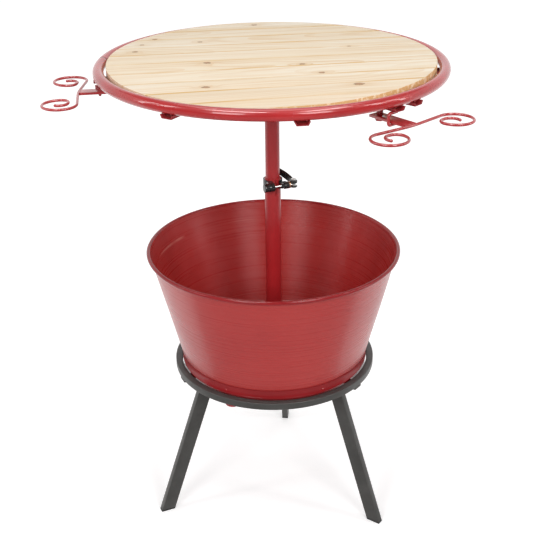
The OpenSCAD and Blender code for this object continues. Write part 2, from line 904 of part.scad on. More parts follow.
// A rod is a list of runs: [length] is straight, [radius, angle] bends, to the left if above 0.
// A place on it is [x, y, heading], and the rod starts at 0 along X.
function rod_step(at, run) =
  len(run) == 1
  ? [at[0] + run[0] * cos(at[2]), at[1] + run[0] * sin(at[2]), at[2]]
  : let (
      bend_r = sign(run[1]) * run[0],
      heading = at[2] + run[1]
    )
    [
      at[0] + bend_r * (sin(heading) - sin(at[2])),
      at[1] - bend_r * (cos(heading) - cos(at[2])),
      heading
    ];
function rod_place(runs, i) = i == 0 ? [0, 0, 0] : rod_step(rod_place(runs, i - 1), runs[i - 1]);
module rod(d, runs) {
  for (i = [0 : len(runs) - 1]) {
    at = rod_place(runs, i);
    run = runs[i];
    translate([at[0], at[1], 0])
      rotate([0, 0, at[2]])
        if (len(run) == 1)
          rotate([0, 90, 0])
            cylinder(d = d, h = run[0]);
        else
          mirror([0, run[1] < 0 ? 1 : 0, 0])
            translate([0, run[0], 0])
              rotate([0, 0, -90])
                rotate_extrude(angle = abs(run[1]))
                  translate([run[0], 0])
                    circle(d = d);
  }
}

// Rest hook: a rod from under the strap, down beside the arm and back under it
hook_bend = 4.5;
hook_gap = 1.5;
hook_under_gap = 0.6;
hook_reach = 4;
hook_side = holder_arm_w / 2 + hook_gap + hook_d / 2;
hook_top_z = arm_floor_z - hook_d / 2;
hook_low_z = holder_z - hook_under_gap - hook_d / 2;
hook_runs = [
  [hook_reach + hook_side - hook_bend],
  [hook_bend, 90],
  [hook_top_z - hook_low_z - 2 * hook_bend],
  [hook_bend, 90],
  [hook_reach + hook_side - hook_bend]
];
module rest_hooks() {
  color(RED)
    at_holders()
      translate([hook_reach, -hook_r, hook_top_z])
        rotate([-90, 0, 180])
          rod(hook_d, hook_runs);
}

// Holder arm: a flat bar whose end is cut to the bow of the wire that is welded on it
module holder_arm(turn, skew) {
  color(RED)
    turned(turn)
      difference() {
        intersection() {
          translate([-holder_arm_w / 2, -wire_r, holder_z])
            cube([holder_arm_w, wire_r - holder_start_r, holder_arm_t]);
          translate([0, -wire_r, 0])
            rotate([0, 0, skew])
              translate([0, wire_bow_r, 0])
                upright(2 * wire_bow_r - wire_d, holder_z - over, holder_top_z + over);
        }
        translate([0, -pivot_r, 0])
          upright(journal_d + 2 * pivot_clearance, holder_z - over, holder_top_z + over);
      }
}

// Glass wire: it bows across the arm's end, runs on to each side, loops outwards and curls in
curl_flat = 4;
curl_end_angle = 120;
slope_l = (loop_offset - (wire_bow_r + loop_r) * sin(wire_slope)) / cos(wire_slope);
side_runs = [
  [slope_l],
  [loop_r, -270],
  [curl_r, -90],
  [curl_flat],
  [curl_r, -curl_end_angle]
];
module half_wire() {
  difference() {
    translate([wire_bow_r * sin(wire_slope), wire_bow_r * (1 - cos(wire_slope)), 0])
      rotate([0, 0, wire_slope]) {
        rod(wire_d, side_runs);
        mirror([1, 0, 0])
          rod(wire_d, [[wire_bow_r, wire_slope + 1]]);
      }
    translate([-2 * wire_d, -2 * wire_d, -wire_d])
      cube([2 * wire_d, 4 * wire_d, 2 * wire_d]);
  }
}
module glass_wire(turn, skew) {
  color(RED)
    turned(turn)
      translate([0, -wire_r, wire_z])
        rotate([0, 0, skew])
          for (side = [0, 1])
            mirror([side, 0, 0])
              half_wire();
}

stand_ring();
stand_straps();
stand_hub();
leg(leg_turns[0]);  // leg_right
leg(leg_turns[1]);  // leg_left
leg(leg_turns[2]);  // leg_rear
feet();
tub_wall();
tub_floor_pan();
tub_rivets();
drain_pipe();
drain_gasket();
drain_nut();
drain_cap();
pole_foot_plate();
lower_tube();
foot_plate_bolts();
foot_plate_nuts();
clamp_band();
clamp_nut();
clamp_draw_bolt();
clamp_washers();
clamp_cam_pin();
clamp_lever();
guide_bush();
upper_tube();
hub_plate();
table_rim();
table_arm(1);  // table_arm_1
table_arm(2);  // table_arm_2
table_arm(3);  // table_arm_3
table_arm(4);  // table_arm_4
table_arm(5);  // table_arm_5
table_arm(6);  // table_arm_6
table_arm(7);  // table_arm_7
table_arm(8);  // table_arm_8
table_arm(9);  // table_arm_9
board(1);  // board_1
board(2);  // board_2
board(3);  // board_3
board(4);  // board_4
board(5);  // board_5
board(6);  // board_6
board(7);  // board_7
board(8);  // board_8
board(9);  // board_9
board(10);  // board_10
board_screws();
holder_strap(right_turn);  // holder_strap_right
holder_strap(left_turn);  // holder_strap_left
holder_strap(rear_turn);  // holder_strap_rear
pivot_posts();
pivot_nuts();
rest_hooks();
holder_arm(right_turn, right_wire_skew);  // holder_arm_right
holder_arm(left_turn, left_wire_skew);  // holder_arm_left
holder_arm(rear_turn, rear_wire_skew);  // holder_arm_rear
glass_wire(right_turn, right_wire_skew);  // glass_wire_right
glass_wire(left_turn, left_wire_skew);  // glass_wire_left
glass_wire(rear_turn, rear_wire_skew);  // glass_wire_rear
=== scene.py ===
# %% [markdown]
# # A party table with a drinks tub
# This lesson dresses a round patio table: pine boards in a red ring, on a pole that slides in a second
# tube and is held by a quick-release clamp. The pole stands in a red drinks tub on a three-legged stand,
# and wire holders for stemmed glasses swing out from under the ring.
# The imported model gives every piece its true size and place, in metres, with the origin on the floor
# under the pole and -Y towards the viewer. We keep those pieces fixed and build the finish around them.

# %% Load the frame
import math

import bmesh
import bpy
from mathutils import Matrix, Vector, noise


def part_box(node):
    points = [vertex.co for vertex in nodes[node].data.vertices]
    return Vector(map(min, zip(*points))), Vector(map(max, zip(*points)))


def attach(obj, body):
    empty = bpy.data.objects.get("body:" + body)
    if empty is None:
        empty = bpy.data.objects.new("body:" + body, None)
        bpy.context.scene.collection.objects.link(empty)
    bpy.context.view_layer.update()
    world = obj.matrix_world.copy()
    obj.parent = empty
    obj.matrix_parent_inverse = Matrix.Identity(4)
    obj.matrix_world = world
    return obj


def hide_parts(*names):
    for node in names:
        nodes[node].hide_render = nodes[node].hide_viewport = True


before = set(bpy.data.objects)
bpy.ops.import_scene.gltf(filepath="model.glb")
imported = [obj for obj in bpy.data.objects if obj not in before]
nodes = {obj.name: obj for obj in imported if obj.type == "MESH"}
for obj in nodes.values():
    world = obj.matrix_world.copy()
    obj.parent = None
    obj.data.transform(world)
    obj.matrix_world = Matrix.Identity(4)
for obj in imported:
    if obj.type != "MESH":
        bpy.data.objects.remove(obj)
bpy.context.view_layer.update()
bpy.ops.object.select_all(action="DESELECT")

# %% [markdown]
# ## The camera
# The photograph is square and was taken from a little above the table top, looking down. A camera is
# placed by three things: where it stands, where it looks and how long its lens is. These values were
# solved from the ellipses of the ring, the tub and the stand, so they are plain numbers here.

# %% Camera
CAMERA_PLACE = Vector((0, -1.752, 1.299))
CAMERA_DOWN = math.radians(25.353)
CAMERA_ROLL = math.radians(-0.688)
CAMERA_YAW = math.radians(-0.218)
FOCAL_PX = 1048.87
PHOTO_PX = 540
SENSOR_MM = 36


def camera_axes():
    ahead = Vector((
        math.sin(CAMERA_YAW) * math.cos(CAMERA_DOWN),
        math.cos(CAMERA_YAW) * math.cos(CAMERA_DOWN),
        -math.sin(CAMERA_DOWN),
    ))
    level_right = Vector((math.cos(CAMERA_YAW), -math.sin(CAMERA_YAW), 0))
    level_up = level_right.cross(ahead)
    right = math.cos(CAMERA_ROLL) * level_right + math.sin(CAMERA_ROLL) * level_up
    up = math.cos(CAMERA_ROLL) * level_up - math.sin(CAMERA_ROLL) * level_right
    return right, up, ahead


right, up, ahead = camera_axes()
bpy.ops.object.camera_add(location=CAMERA_PLACE)
camera = bpy.context.object
camera.name = "photo_camera"
camera.rotation_euler = Matrix((right, up, -ahead)).transposed().to_euler()
camera.data.sensor_width = SENSOR_MM
camera.data.lens = FOCAL_PX / PHOTO_PX * SENSOR_MM
bpy.context.scene.camera = camera
print("camera lens", round(camera.data.lens, 1), "mm")

# %% [markdown]
# ## Node helpers
# A material is a net of nodes. A few short functions keep the nets readable: one adds a node and fills
# its inputs, with a link where the value is another node's output, and the rest are sums on top of it.
# An output knows its own node tree, so the functions find the tree by themselves.

# %% Nodes and sums


def is_output(value):
    return hasattr(value, "is_output")


def plug(node, inputs):
    """Fills a node's inputs: an output is linked, and anything else is set as a plain value."""
    for name, value in inputs.items():
        if is_output(value):
            value.id_data.links.new(value, node.inputs[name])
        else:
            node.inputs[name].default_value = value


def add_node(tree, kind, inputs=None, **settings):
    made = tree.nodes.new(kind)
    for name, value in settings.items():
        setattr(made, name, value)
    plug(made, inputs or {})
    return made


def calc(operation, *values):
    """A Math node on outputs and numbers; returns its result."""
    tree = next(value for value in values if is_output(value)).id_data
    return add_node(tree, "ShaderNodeMath", dict(enumerate(values)), operation=operation).outputs[0]


def times(one, other):
    return calc("MULTIPLY", one, other)


def plus(one, other):
    return calc("ADD", one, other)


def minus(one, other):
    return calc("SUBTRACT", one, other)


def measure(operation, point, other=(0, 0, 0)):
    """A Vector Math node whose result is one number."""
    made = add_node(point.id_data, "ShaderNodeVectorMath", {0: point, 1: other}, operation=operation)
    return made.outputs["Value"]


def remap(value, low, high, to_low, to_high, smooth=False):
    made = add_node(
        value.id_data, "ShaderNodeMapRange",
        {"Value": value, "From Min": low, "From Max": high, "To Min": to_low, "To Max": to_high},
        interpolation_type="SMOOTHSTEP" if smooth else "LINEAR")
    return made.outputs["Result"]


def coordinate(tree, kind):
    return add_node(tree, "ShaderNodeTexCoord").outputs[kind]


print("node helpers ready")

# %% [markdown]
# ## Studio
# The table was photographed on white. The floor is a big white sheet that keeps the shadow, the world
# gives an even fill, and soft lamps in front and above light the colours about as they are written,
# with the view transform at Standard. Glossy paint mirrors the room: white from every side would make it
# chalky, so a photographer hangs dark flags round the set and bright cards where a highlight is wanted.
# Ours are panels that only reflections see: they shape the gloss and leave the colours alone.

# %% World and floor
bpy.context.scene.view_settings.view_transform = "Standard"
WORLD_FILL = 0.35
GLOW_REACH = (0.5, 3.0)
GLOW_NEAR = 0.40
GLOW_FAR = 0.71
FLOOR_SIZE = 30
FLOOR_SINK = 0.0004
PAPER = (0.86, 0.86, 0.86, 1)
WHITE = (1, 1, 1, 1)


def seen_as_white(tree):
    """1 for camera, glossy and transmission rays, so that mirrors show the same white as the eye."""
    ray = add_node(tree, "ShaderNodeLightPath").outputs
    both = calc("MAXIMUM", ray["Is Camera Ray"], ray["Is Glossy Ray"])
    return calc("MAXIMUM", both, ray["Is Transmission Ray"])


def bare_material(piece, name):
    """Gives a piece a new material without nodes, and returns its tree."""
    look = bpy.data.materials.new(name)
    look.use_nodes = True
    look.node_tree.nodes.clear()
    piece.data.materials.append(look)
    return look.node_tree


world = bpy.data.worlds.new("white_studio")
bpy.context.scene.world = world
world.use_nodes = True
fill = plus(times(seen_as_white(world.node_tree), 1 - WORLD_FILL), WORLD_FILL)
plug(world.node_tree.nodes["Background"], {"Color": WHITE, "Strength": fill})

bpy.ops.mesh.primitive_plane_add(size=FLOOR_SIZE, location=(0, 0, -FLOOR_SINK))
floor = bpy.context.object
floor.name = "studio_floor"
tree = bare_material(floor, "white_floor")
spread = remap(measure("LENGTH", coordinate(tree, "Object")), *GLOW_REACH, GLOW_NEAR, GLOW_FAR)
paper = add_node(tree, "ShaderNodeBsdfDiffuse", {"Color": PAPER})
glow = add_node(tree, "ShaderNodeEmission", {"Color": WHITE, "Strength": times(seen_as_white(tree), spread)})
both = add_node(tree, "ShaderNodeAddShader", {0: paper.outputs[0], 1: glow.outputs[0]})
add_node(tree, "ShaderNodeOutputMaterial", {"Surface": both.outputs[0]})
print("world fill", WORLD_FILL, "and a floor", FLOOR_SIZE, "m wide")

# %% Lamps
# Each lamp as its name, place, aim, width, height and watts
LAMPS = [
    ("soft_box_left", (-1.3, -2.6, 2.1), (0, 0, 0.55), 1.0, 1.2, 34),
    ("soft_box_right", (1.3, -2.6, 2.1), (0, 0, 0.55), 1.0, 1.2, 34),
    ("side_box_0", (-2.5, -0.9, 2.4), (0, 0, 0.5), 0.4, 1.2, 13),
    ("side_box_2", (2.5, -0.9, 2.4), (0, 0, 0.5), 0.4, 1.2, 13),
    ("top_light", (0, 0.6, 3.4), (0, 0, 0.5), 2.4, 1.6, 29),
]


def aimed(place, aim, axis):
    """The rotation that turns a lamp's or a panel's axis from its place towards its aim."""
    return (Vector(aim) - Vector(place)).to_track_quat(axis, "Y").to_euler()


for name, place, aim, width, height, watts in LAMPS:
    bpy.ops.object.light_add(type="AREA", location=place)
    lamp = bpy.context.object
    lamp.name = name
    lamp.data.shape = "RECTANGLE"
    lamp.data.size = width
    lamp.data.size_y = height
    lamp.data.energy = watts
    lamp.rotation_euler = aimed(place, aim, "-Z")
print(len(LAMPS), "soft boxes")

# %% Flags and cards for the gloss
# Each panel as its name, width, height, place, aim and strength: the weak ones are the dark flags
PANELS = [
    ("front_flag", 7.0, 3.6, (0, -3.5, 1.8), (0, 0, 1.8), 0.10),
    ("side_flag_0", 3.2, 3.6, (-3.5, -1.9, 1.8), (0, -1.9, 1.8), 0.14),
    ("side_flag_2", 3.2, 3.6, (3.5, -1.9, 1.8), (0, -1.9, 1.8), 0.14),
    ("floor_flag", 7.0, 3.4, (0, -1.8, 0.001), (0, -1.8, 1), 0.50),
    ("ceiling_flag", 7.0, 7.0, (0, 0, 3.7), (0, 0, 0), 0.35),
    ("side_card_0", 0.20, 1.7, (-2.36, -0.32, 1.6), (0, 0, 0.5), 8),
    ("side_card_2", 0.20, 1.7, (2.36, -0.32, 1.6), (0, 0, 0.5), 8),
    ("left_card", 1.05, 0.30, (-0.53, -0.90, 2.65), (-0.1, -0.3, 0.85), 22),
    ("right_card", 0.95, 0.30, (0.84, -0.84, 2.65), (0.1, -0.3, 0.85), 22),
]
for name, width, height, place, aim, strength in PANELS:
    bpy.ops.mesh.primitive_plane_add(size=1, location=place)
    panel = bpy.context.object
    panel.name = name
    panel.scale = (width, height, 1)
    panel.rotation_euler = aimed(place, aim, "Z")
    for ray in ("camera", "diffuse", "shadow", "transmission", "volume_scatter"):
        setattr(panel, "visible_" + ray, False)
    tree = bare_material(panel, name)
    light = add_node(tree, "ShaderNodeEmission", {"Color": WHITE, "Strength": strength})
    add_node(tree, "ShaderNodeOutputMaterial", {"Surface": light.outputs[0]})
print(len(PANELS), "flags and cards")

# %% [markdown]
# ## Small helpers
# Directions on the table are turns about the pole: 0 looks to the front, and a turn grows towards the
# right. A point is then a distance, a turn and a height in millimetres. Every finished piece is settled,
# so that its object sits at the origin and its place is in its mesh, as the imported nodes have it.

# %% Placing and settling
MM = 0.001


def outward(turn):
    return Vector((math.sin(math.radians(turn)), -math.cos(math.radians(turn)), 0))


def sideways(turn):
    return Vector((math.cos(math.radians(turn)), math.sin(math.radians(turn)), 0))


def spot(r, turn, z):
    return outward(turn) * r * MM + Vector((0, 0, z * MM))


def turn_of(point):
    return math.degrees(math.atan2(point[0], -point[1]))


def from_pole(point):
    return math.hypot(point[0], point[1])


def pick(*pieces):
    """Selects these pieces alone, and makes the first one active."""
    bpy.ops.object.select_all(action="DESELECT")
    for piece in pieces:
        piece.select_set(True)
    bpy.context.view_layer.objects.active = pieces[0]


def settle(piece):
    pick(piece)
    bpy.ops.object.transform_apply(location=True, rotation=True, scale=True)
    return piece


def named(piece, name):
    piece.name = name
    piece.data.name = name
    return piece


def copy_of(piece, name):
    pick(piece)
    bpy.ops.object.duplicate(linked=False)
    return named(bpy.context.object, name)


def join(name, parts):
    pick(*parts)
    if len(parts) > 1:
        bpy.ops.object.join()
    return named(bpy.context.object, name)


def set_out(piece, name, places):
    """Joins copies of a piece, one for each place, rotation and scale, and removes the piece itself."""
    made = []
    for location, rotation, scale in places:
        made.append(copy_of(piece, name))
        made[-1].location = location
        made[-1].rotation_euler = rotation
        made[-1].scale = scale
        settle(made[-1])
    bpy.data.objects.remove(piece)
    return join(name, made)


def dress(piece, material, body, slot, *replaced):
    """Gives a finished piece its material, the body it rides on and the nodes it stands for."""
    piece.data.materials.clear()
    piece.data.materials.append(material)
    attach(piece, body)
    if replaced:
        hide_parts(*replaced)
    return piece


print("placing helpers ready")

# %% Shaping helpers


def edit(piece):
    pick(piece)
    bpy.ops.object.mode_set(mode="EDIT")


def done():
    bpy.ops.object.mode_set(mode="OBJECT")


def select_all():
    bpy.ops.mesh.select_all(action="SELECT")


def face_outwards():
    select_all()
    bpy.ops.mesh.normals_make_consistent(inside=False)


def close_shell():
    """Merges the doubled points of the mesh being edited, and turns its faces outwards."""
    select_all()
    bpy.ops.mesh.remove_doubles(threshold=1e-6)
    face_outwards()


def extrude(step):
    bpy.ops.mesh.extrude_region_move(TRANSFORM_OT_translate={"value": step})


def select_where(piece, mode, test):
    """Selects the vertices or faces of the mesh being edited that pass a test."""
    bpy.ops.mesh.select_mode(type=mode)
    bpy.ops.mesh.select_all(action="DESELECT")
    shape = bmesh.from_edit_mesh(piece.data)
    for item in shape.verts if mode == "VERT" else shape.faces:
        if test(item):
            item.select_set(True)
    shape.select_flush(True)
    bmesh.update_edit_mesh(piece.data)


def move_points(piece, new_place):
    """Puts each vertex of the mesh being edited where new_place says."""
    shape = bmesh.from_edit_mesh(piece.data)
    for vertex in shape.verts:
        vertex.co = new_place(vertex.co)
    bmesh.update_edit_mesh(piece.data)


def apply_modifier(piece, kind, **settings):
    bpy.context.view_layer.objects.active = piece
    made = piece.modifiers.new(kind.lower(), kind)
    for name, value in settings.items():
        setattr(made, name, value)
    bpy.ops.object.modifier_apply(modifier=made.name)


def shade(piece, angle):
    pick(piece)
    bpy.ops.object.shade_smooth_by_angle(angle=math.radians(angle))


def soften(piece, width, segments=2, angle=30):
    """Rounds the sharp edges, as rolled, sawn or painted edges are, and shades the rest smooth."""
    apply_modifier(
        piece, "BEVEL", width=width * MM, segments=segments,
        limit_method="ANGLE", angle_limit=math.radians(angle), use_clamp_overlap=True,
    )
    shade(piece, 35)


print("shaping helpers ready")

# %% [markdown]
# ## Turned shapes
# The tub's wall is a body of revolution. On a lathe one draws half of the outline and spins it. The
# helper starts from a plane that is merged to a single point, extrudes that point along the outline and
# spins the line round the pole.

# %% Lathe helper
TUB_STEPS = 192


def lathe(name, outline, smooth):
    """Draws a line through points, each (radius, height) in mm, closes it and spins it round the Z axis."""
    bpy.ops.mesh.primitive_plane_add(size=MM)
    piece = named(bpy.context.object, name)
    edit(piece)
    bpy.ops.mesh.merge(type="CENTER")
    points = [Vector((r * MM, 0, z * MM)) for r, z in outline + outline[:1]]
    bpy.ops.transform.translate(value=points[0])
    for last, point in zip(points, points[1:]):
        bpy.ops.mesh.extrude_vertices_move(TRANSFORM_OT_translate={"value": point - last})
    select_all()
    bpy.ops.mesh.remove_doubles(threshold=1e-6)
    bpy.ops.mesh.spin(
        steps=TUB_STEPS, angle=2 * math.pi, center=(0, 0, 0), axis=(0, 0, 1), use_auto_merge=True)
    close_shell()
    done()
    shade(piece, smooth)
    return piece


def arc(centre_r, centre_z, radius, start, end, steps):
    """Points on an arc of an outline, from one angle to another, in degrees from outwards."""
    angles = [math.radians(start + (end - start) * step / steps) for step in range(steps + 1)]
    return [(centre_r + radius * math.cos(angle), centre_z + radius * math.sin(angle)) for angle in angles]


print("lathe ready")

# %% [markdown]
# ## Red paint
# Most of the table is steel with a red powder coat. Real paint is never one colour: it is a little darker
# where it pooled, its gloss wanders, and it has a fine orange-peel skin. One function mixes two close
# reds with noise and bumps the surface, and each part of the table gets its own strengths.

# %% Paint
RED = (0.44, 0.020, 0.022, 1)
DEEP_RED = (0.31, 0.011, 0.013, 1)


def start_material(name):
    material = bpy.data.materials.new(name)
    material.use_nodes = True
    tree = material.node_tree
    return material, tree.nodes["Principled BSDF"], coordinate(tree, "Object")


def speckle(place, scale, detail=2, stretch=(1, 1, 1), roughness=0.5, offset=(0, 0, 0)):
    """Noise on object coordinates, stretched along the axes if asked; returns its value."""
    tree = place.id_data
    mapped = add_node(
        tree, "ShaderNodeMapping", {"Vector": place, "Scale": stretch, "Location": offset}).outputs[0]
    made = add_node(
        tree, "ShaderNodeTexNoise",
        {"Vector": mapped, "Scale": scale, "Detail": detail, "Roughness": roughness})
    return made.outputs["Fac"]


# Mix nodes hold a set of sockets for each data type, and the colour ones come by place
def blend(amount, first, second):
    """Mixes two colours, each an output or a plain colour, by an amount from 0 to 1."""
    made = add_node(
        amount.id_data, "ShaderNodeMix", {0: amount, 6: first, 7: second}, data_type="RGBA")
    return made.outputs[2]


def bump(height, strength, distance, below=None):
    """A bump of the surface, over another one if given."""
    inputs = {"Strength": strength, "Distance": distance, "Height": height}
    if below is not None:
        inputs["Normal"] = below
    return add_node(height.id_data, "ShaderNodeBump", inputs).outputs[0]


def red_paint(name, gloss, wander, coat, clear=0.08, peel=0.10, base=RED, deep=DEEP_RED, specular=0.5):
    """gloss is the roughness of the shiniest spots, and it wanders up from there."""
    material, shader, place = start_material(name)
    tint = remap(speckle(place, 14, detail=4), 0.35, 0.70, 0.0, 0.55)
    scuffs = speckle(place, 55, detail=6, roughness=0.65, offset=(3, 1, 7))
    plug(shader, {
        "Base Color": blend(tint, base, deep),
        "Roughness": remap(scuffs, 0.3, 0.75, gloss, gloss + wander),
        "Normal": bump(speckle(place, 420), peel, 0.0004),
        "Specular IOR Level": specular, "Coat Weight": coat, "Coat Roughness": clear,
    })
    return material


pole_paint = red_paint("pole_paint", 0.28, 0.14, coat=0.15, base=(0.43, 0.018, 0.022, 1))
wire_paint = red_paint(
    "wire_paint", 0.30, 0.12, coat=0.9, clear=0.05, peel=0.03, base=(0.42, 0.019, 0.022, 1),
    deep=(0.28, 0.011, 0.013, 1))
# Painted shade: a darker red for the frame, posts and weld beads under the boards, where the table's shade
# falls
under_table_painted_shade = red_paint("under_table_painted_shade", 0.36, 0.16, coat=0.15, base=(0.27, 0.012, 0.016, 1))
# Painted shade: a darker red for the tub's rolled edge and its foot, standing for the shade and dark
# reflections there
edge_and_foot_painted_shade = red_paint(
    "edge_and_foot_painted_shade", 0.16, 0.10, coat=0.1, base=(0.29, 0.011, 0.014, 1), deep=(0.20, 0.007, 0.009, 1),
    specular=0.3)
ring_paint = red_paint("ring_paint", 0.26, 0.02, coat=0.7, clear=0.04, peel=0, specular=0.3)
print("five red paints")

# %% Joint line on the ring
JOINT_TURN = -95
JOINT_DARK = (0.10, 0.006, 0.008, 1)
JOINT_LINE = (2.4, 1.5)


def mark_joint(material):
    """A dark line across the ring where the tube's two ends meet."""
    place = coordinate(material.node_tree, "Object")
    beside = measure("DOT_PRODUCT", place, sideways(JOINT_TURN))
    away = measure("DOT_PRODUCT", place, outward(JOINT_TURN))
    line = remap(calc("ABSOLUTE", beside), JOINT_LINE[0] * MM, JOINT_LINE[1] * MM, 0, 0.8)
    line = times(line, calc("GREATER_THAN", away, 0))
    shader = material.node_tree.nodes["Principled BSDF"]
    below = shader.inputs["Base Color"].links[0].from_socket
    plug(shader, {"Base Color": blend(line, below, JOINT_DARK)})


mark_joint(ring_paint)
print("the ring's joint is marked at a turn of", JOINT_TURN)

# %% [markdown]
# ## The tub's paint
# The tub was spun from sheet metal, and the spinning left fine rings that still show through its satin
# paint. They stretch every reflection up and down. A noise that is squeezed along Z gives such rings,
# and a broken track of scratches runs round inside, under the edge. The rolled edge and the foot get a
# darker red as painted shade, standing for the shade and dark reflections that fall on them.

# %% Tub paint
wall_low, wall_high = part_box("tub_wall")
TUB_EDGE_R = wall_high.x / MM
BASE_Z = wall_low.z / MM
TOP_Z = wall_high.z / MM
FOOT_R = 172.8
FOOT_H = 30.5
TUB_RED = (0.42, 0.026, 0.023, 1)
TUB_DEEP = (0.33, 0.014, 0.015, 1)
TUB_DUSTY = (0.49, 0.060, 0.054, 1)
FOOT_PAINTED_SHADE = (0.23, 0.008, 0.010, 1)
SCRATCH_LIGHT = (0.60, 0.20, 0.17, 1)
SCRATCH_DOWN = 37
SCRATCH_SWAY = 3
SCRATCH_LINE = (1.3, 0.5)


def split(vector):
    return add_node(vector.id_data, "ShaderNodeSeparateXYZ", {0: vector}).outputs


def scratch_track(place, x, y, height):
    """1 on a track of fine scratches, round the inside and just under the edge."""
    level = calc("ABSOLUTE", minus(height, (TOP_Z - SCRATCH_DOWN) * MM))
    sway = speckle(place, 4, detail=1, offset=(2, 2, 9))
    sway = remap(sway, 0.3, 0.7, -SCRATCH_SWAY * MM, SCRATCH_SWAY * MM)
    track = remap(plus(level, sway), SCRATCH_LINE[0] * MM, SCRATCH_LINE[1] * MM, 0, 1)
    facing = split(coordinate(place.id_data, "Normal"))
    outward_share = plus(times(x, facing["X"]), times(y, facing["Y"]))
    track = times(track, calc("LESS_THAN", outward_share, 0))
    return times(track, remap(speckle(place, 11, offset=(5, 1, 3)), 0.50, 0.62, 0, 0.75))


def tub_paint():
    material, shader, place = start_material("tub_paint")
    x, y, height = split(place)
    rings = speckle(place, 2.2, detail=8, stretch=(1, 1, 120), roughness=0.8)
    fine = speckle(place, 5, detail=6, stretch=(1, 1, 300), roughness=0.7, offset=(1, 4, 2))
    colour = blend(remap(speckle(place, 5, detail=3), 0.35, 0.7, 0, 0.6), TUB_RED, TUB_DEEP)
    colour = blend(remap(rings, 0.52, 0.72, 0, 0.30), colour, TUB_DUSTY)
    # Painted shade: the foot turns darker red, standing for the shade and the dark reflection of the stand's
    # ring
    foot = remap(height, (BASE_Z + FOOT_H + 2) * MM, (BASE_Z + FOOT_H - 1) * MM, 0, 0.85)
    colour = blend(foot, colour, FOOT_PAINTED_SHADE)
    round_pole = add_node(place.id_data, "ShaderNodeTangent", direction_type="RADIAL", axis="Z")
    plug(shader, {
        "Base Color": blend(scratch_track(place, x, y, height), colour, SCRATCH_LIGHT),
        "Roughness": remap(rings, 0.35, 0.7, 0.24, 0.36),
        "Normal": bump(rings, 0.22, 0.0010, bump(fine, 0.20, 0.0005)),
        "Anisotropic": 0.85, "Anisotropic Rotation": 0.25, "Tangent": round_pole.outputs[0],
        "Specular IOR Level": 0.58, "Coat Weight": 0.2, "Coat Roughness": 0.12,
    })
    return material


tub_look = tub_paint()
print("tub paint with rings and scratches")

# %% [markdown]
# ## Charcoal, enamel, steel and plastic
# The stand has a satin charcoal coat with fine grit. The clamp is glossy black enamel
# with bright plated hardware. The drain and the feet are moulded plastic. Each gets noise in its colour
# and roughness and a bump at the scale of the real surface.

# %% Other finishes


def coat(name, colour, second, rough, wander, grit_scale=700, grit=0.15, metallic=0.0, clear=0.0):
    material, shader, place = start_material(name)
    clouds = remap(speckle(place, 22, detail=5, roughness=0.6), 0.35, 0.7, 0, 1)
    scuffs = speckle(place, 90, detail=5, roughness=0.7, offset=(5, 2, 1))
    plug(shader, {
        "Base Color": blend(clouds, colour + (1,), second + (1,)),
        "Roughness": remap(scuffs, 0.3, 0.75, rough, rough + wander),
        "Normal": bump(speckle(place, grit_scale, detail=3), grit, 0.0003),
        "Metallic": metallic, "Coat Weight": clear,
    })
    return material


charcoal = coat("charcoal_coat", (0.064, 0.062, 0.058), (0.046, 0.044, 0.041), 0.36, 0.16, grit=0.25)
enamel = coat(
    "black_enamel", (0.010, 0.010, 0.011), (0.018, 0.018, 0.019), 0.16, 0.12, grit=0.08, clear=0.4)
plated = coat("plated_steel", (0.72, 0.72, 0.71), (0.60, 0.60, 0.60), 0.16, 0.14, grit=0.05, metallic=1)
copper = coat("copper_plate", (0.72, 0.47, 0.32), (0.60, 0.38, 0.26), 0.20, 0.14, grit=0.05, metallic=1)
black_plastic = coat("black_plastic", (0.018,) * 3, (0.026,) * 3, 0.48, 0.14, grit_scale=1100)
cap_plastic = coat(
    "red_plastic", (0.42, 0.020, 0.026), (0.36, 0.014, 0.02), 0.32, 0.12, grit_scale=1100, grit=0.08)
drain_plastic = coat(
    "dark_red_plastic", (0.22, 0.010, 0.014), (0.18, 0.008, 0.012), 0.36, 0.12, grit_scale=1100)
seal = coat("seal_rubber", (0.020,) * 3, (0.030,) * 3, 0.62, 0.14, grit_scale=900, grit=0.2)
print("eight more finishes")

# %% [markdown]
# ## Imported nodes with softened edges
# Many CAD pieces have the right shape, but real bar, tube and sheet never has a perfectly sharp edge.
# A copy of the node is merged, its flat triangles are dissolved into whole faces, and a small bevel
# rounds the edges, so they catch the light. The copy then stands for the node.

# %% Softened copies
SIDES = ("right", "left", "rear")


def softened(node, width, material, body, slot, segments=2):
    piece = copy_of(nodes[node], node + "_finished")
    piece.parent = None
    edit(piece)
    select_all()
    bpy.ops.mesh.customdata_custom_splitnormals_clear()
    bpy.ops.mesh.remove_doubles(threshold=2e-6)
    bpy.ops.mesh.dissolve_limited(angle_limit=math.radians(0.4))
    done()
    bpy.ops.object.shade_flat()
    soften(piece, width, segments)
    return dress(piece, material, body, slot, node)


PAINTED_STAND = [("stand_ring", 1.0), ("stand_straps", 0.6), ("stand_hub", 0.6)]
PAINTED_STAND += [("leg_" + side, 1.4) for side in SIDES]
for node, width in PAINTED_STAND:
    softened(node, width, charcoal, "stand", "charcoal_paint", segments=3)
softened("feet", 0.5, black_plastic, "stand", "black_plastic")
print("stand softened:", len(PAINTED_STAND), "nodes and the feet")

# %% Table frame and holders
ARMS = ["table_arm_%d" % arm for arm in range(1, 10)]
STRAPS = ["holder_strap_" + side for side in SIDES]
for node in ARMS + STRAPS:
    softened(node, 0.35, under_table_painted_shade, "top", "red_paint")
softened("hub_plate", 0.6, under_table_painted_shade, "top", "red_paint")
for side in SIDES:
    softened("holder_arm_" + side, 0.5, wire_paint, "holder_" + side, "red_paint")
softened("pivot_posts", 0.4, under_table_painted_shade, "top", "red_paint")
softened("pivot_nuts", 0.5, wire_paint, "top", "red_paint")
print("table frame softened:", len(ARMS + STRAPS) + 6, "nodes")

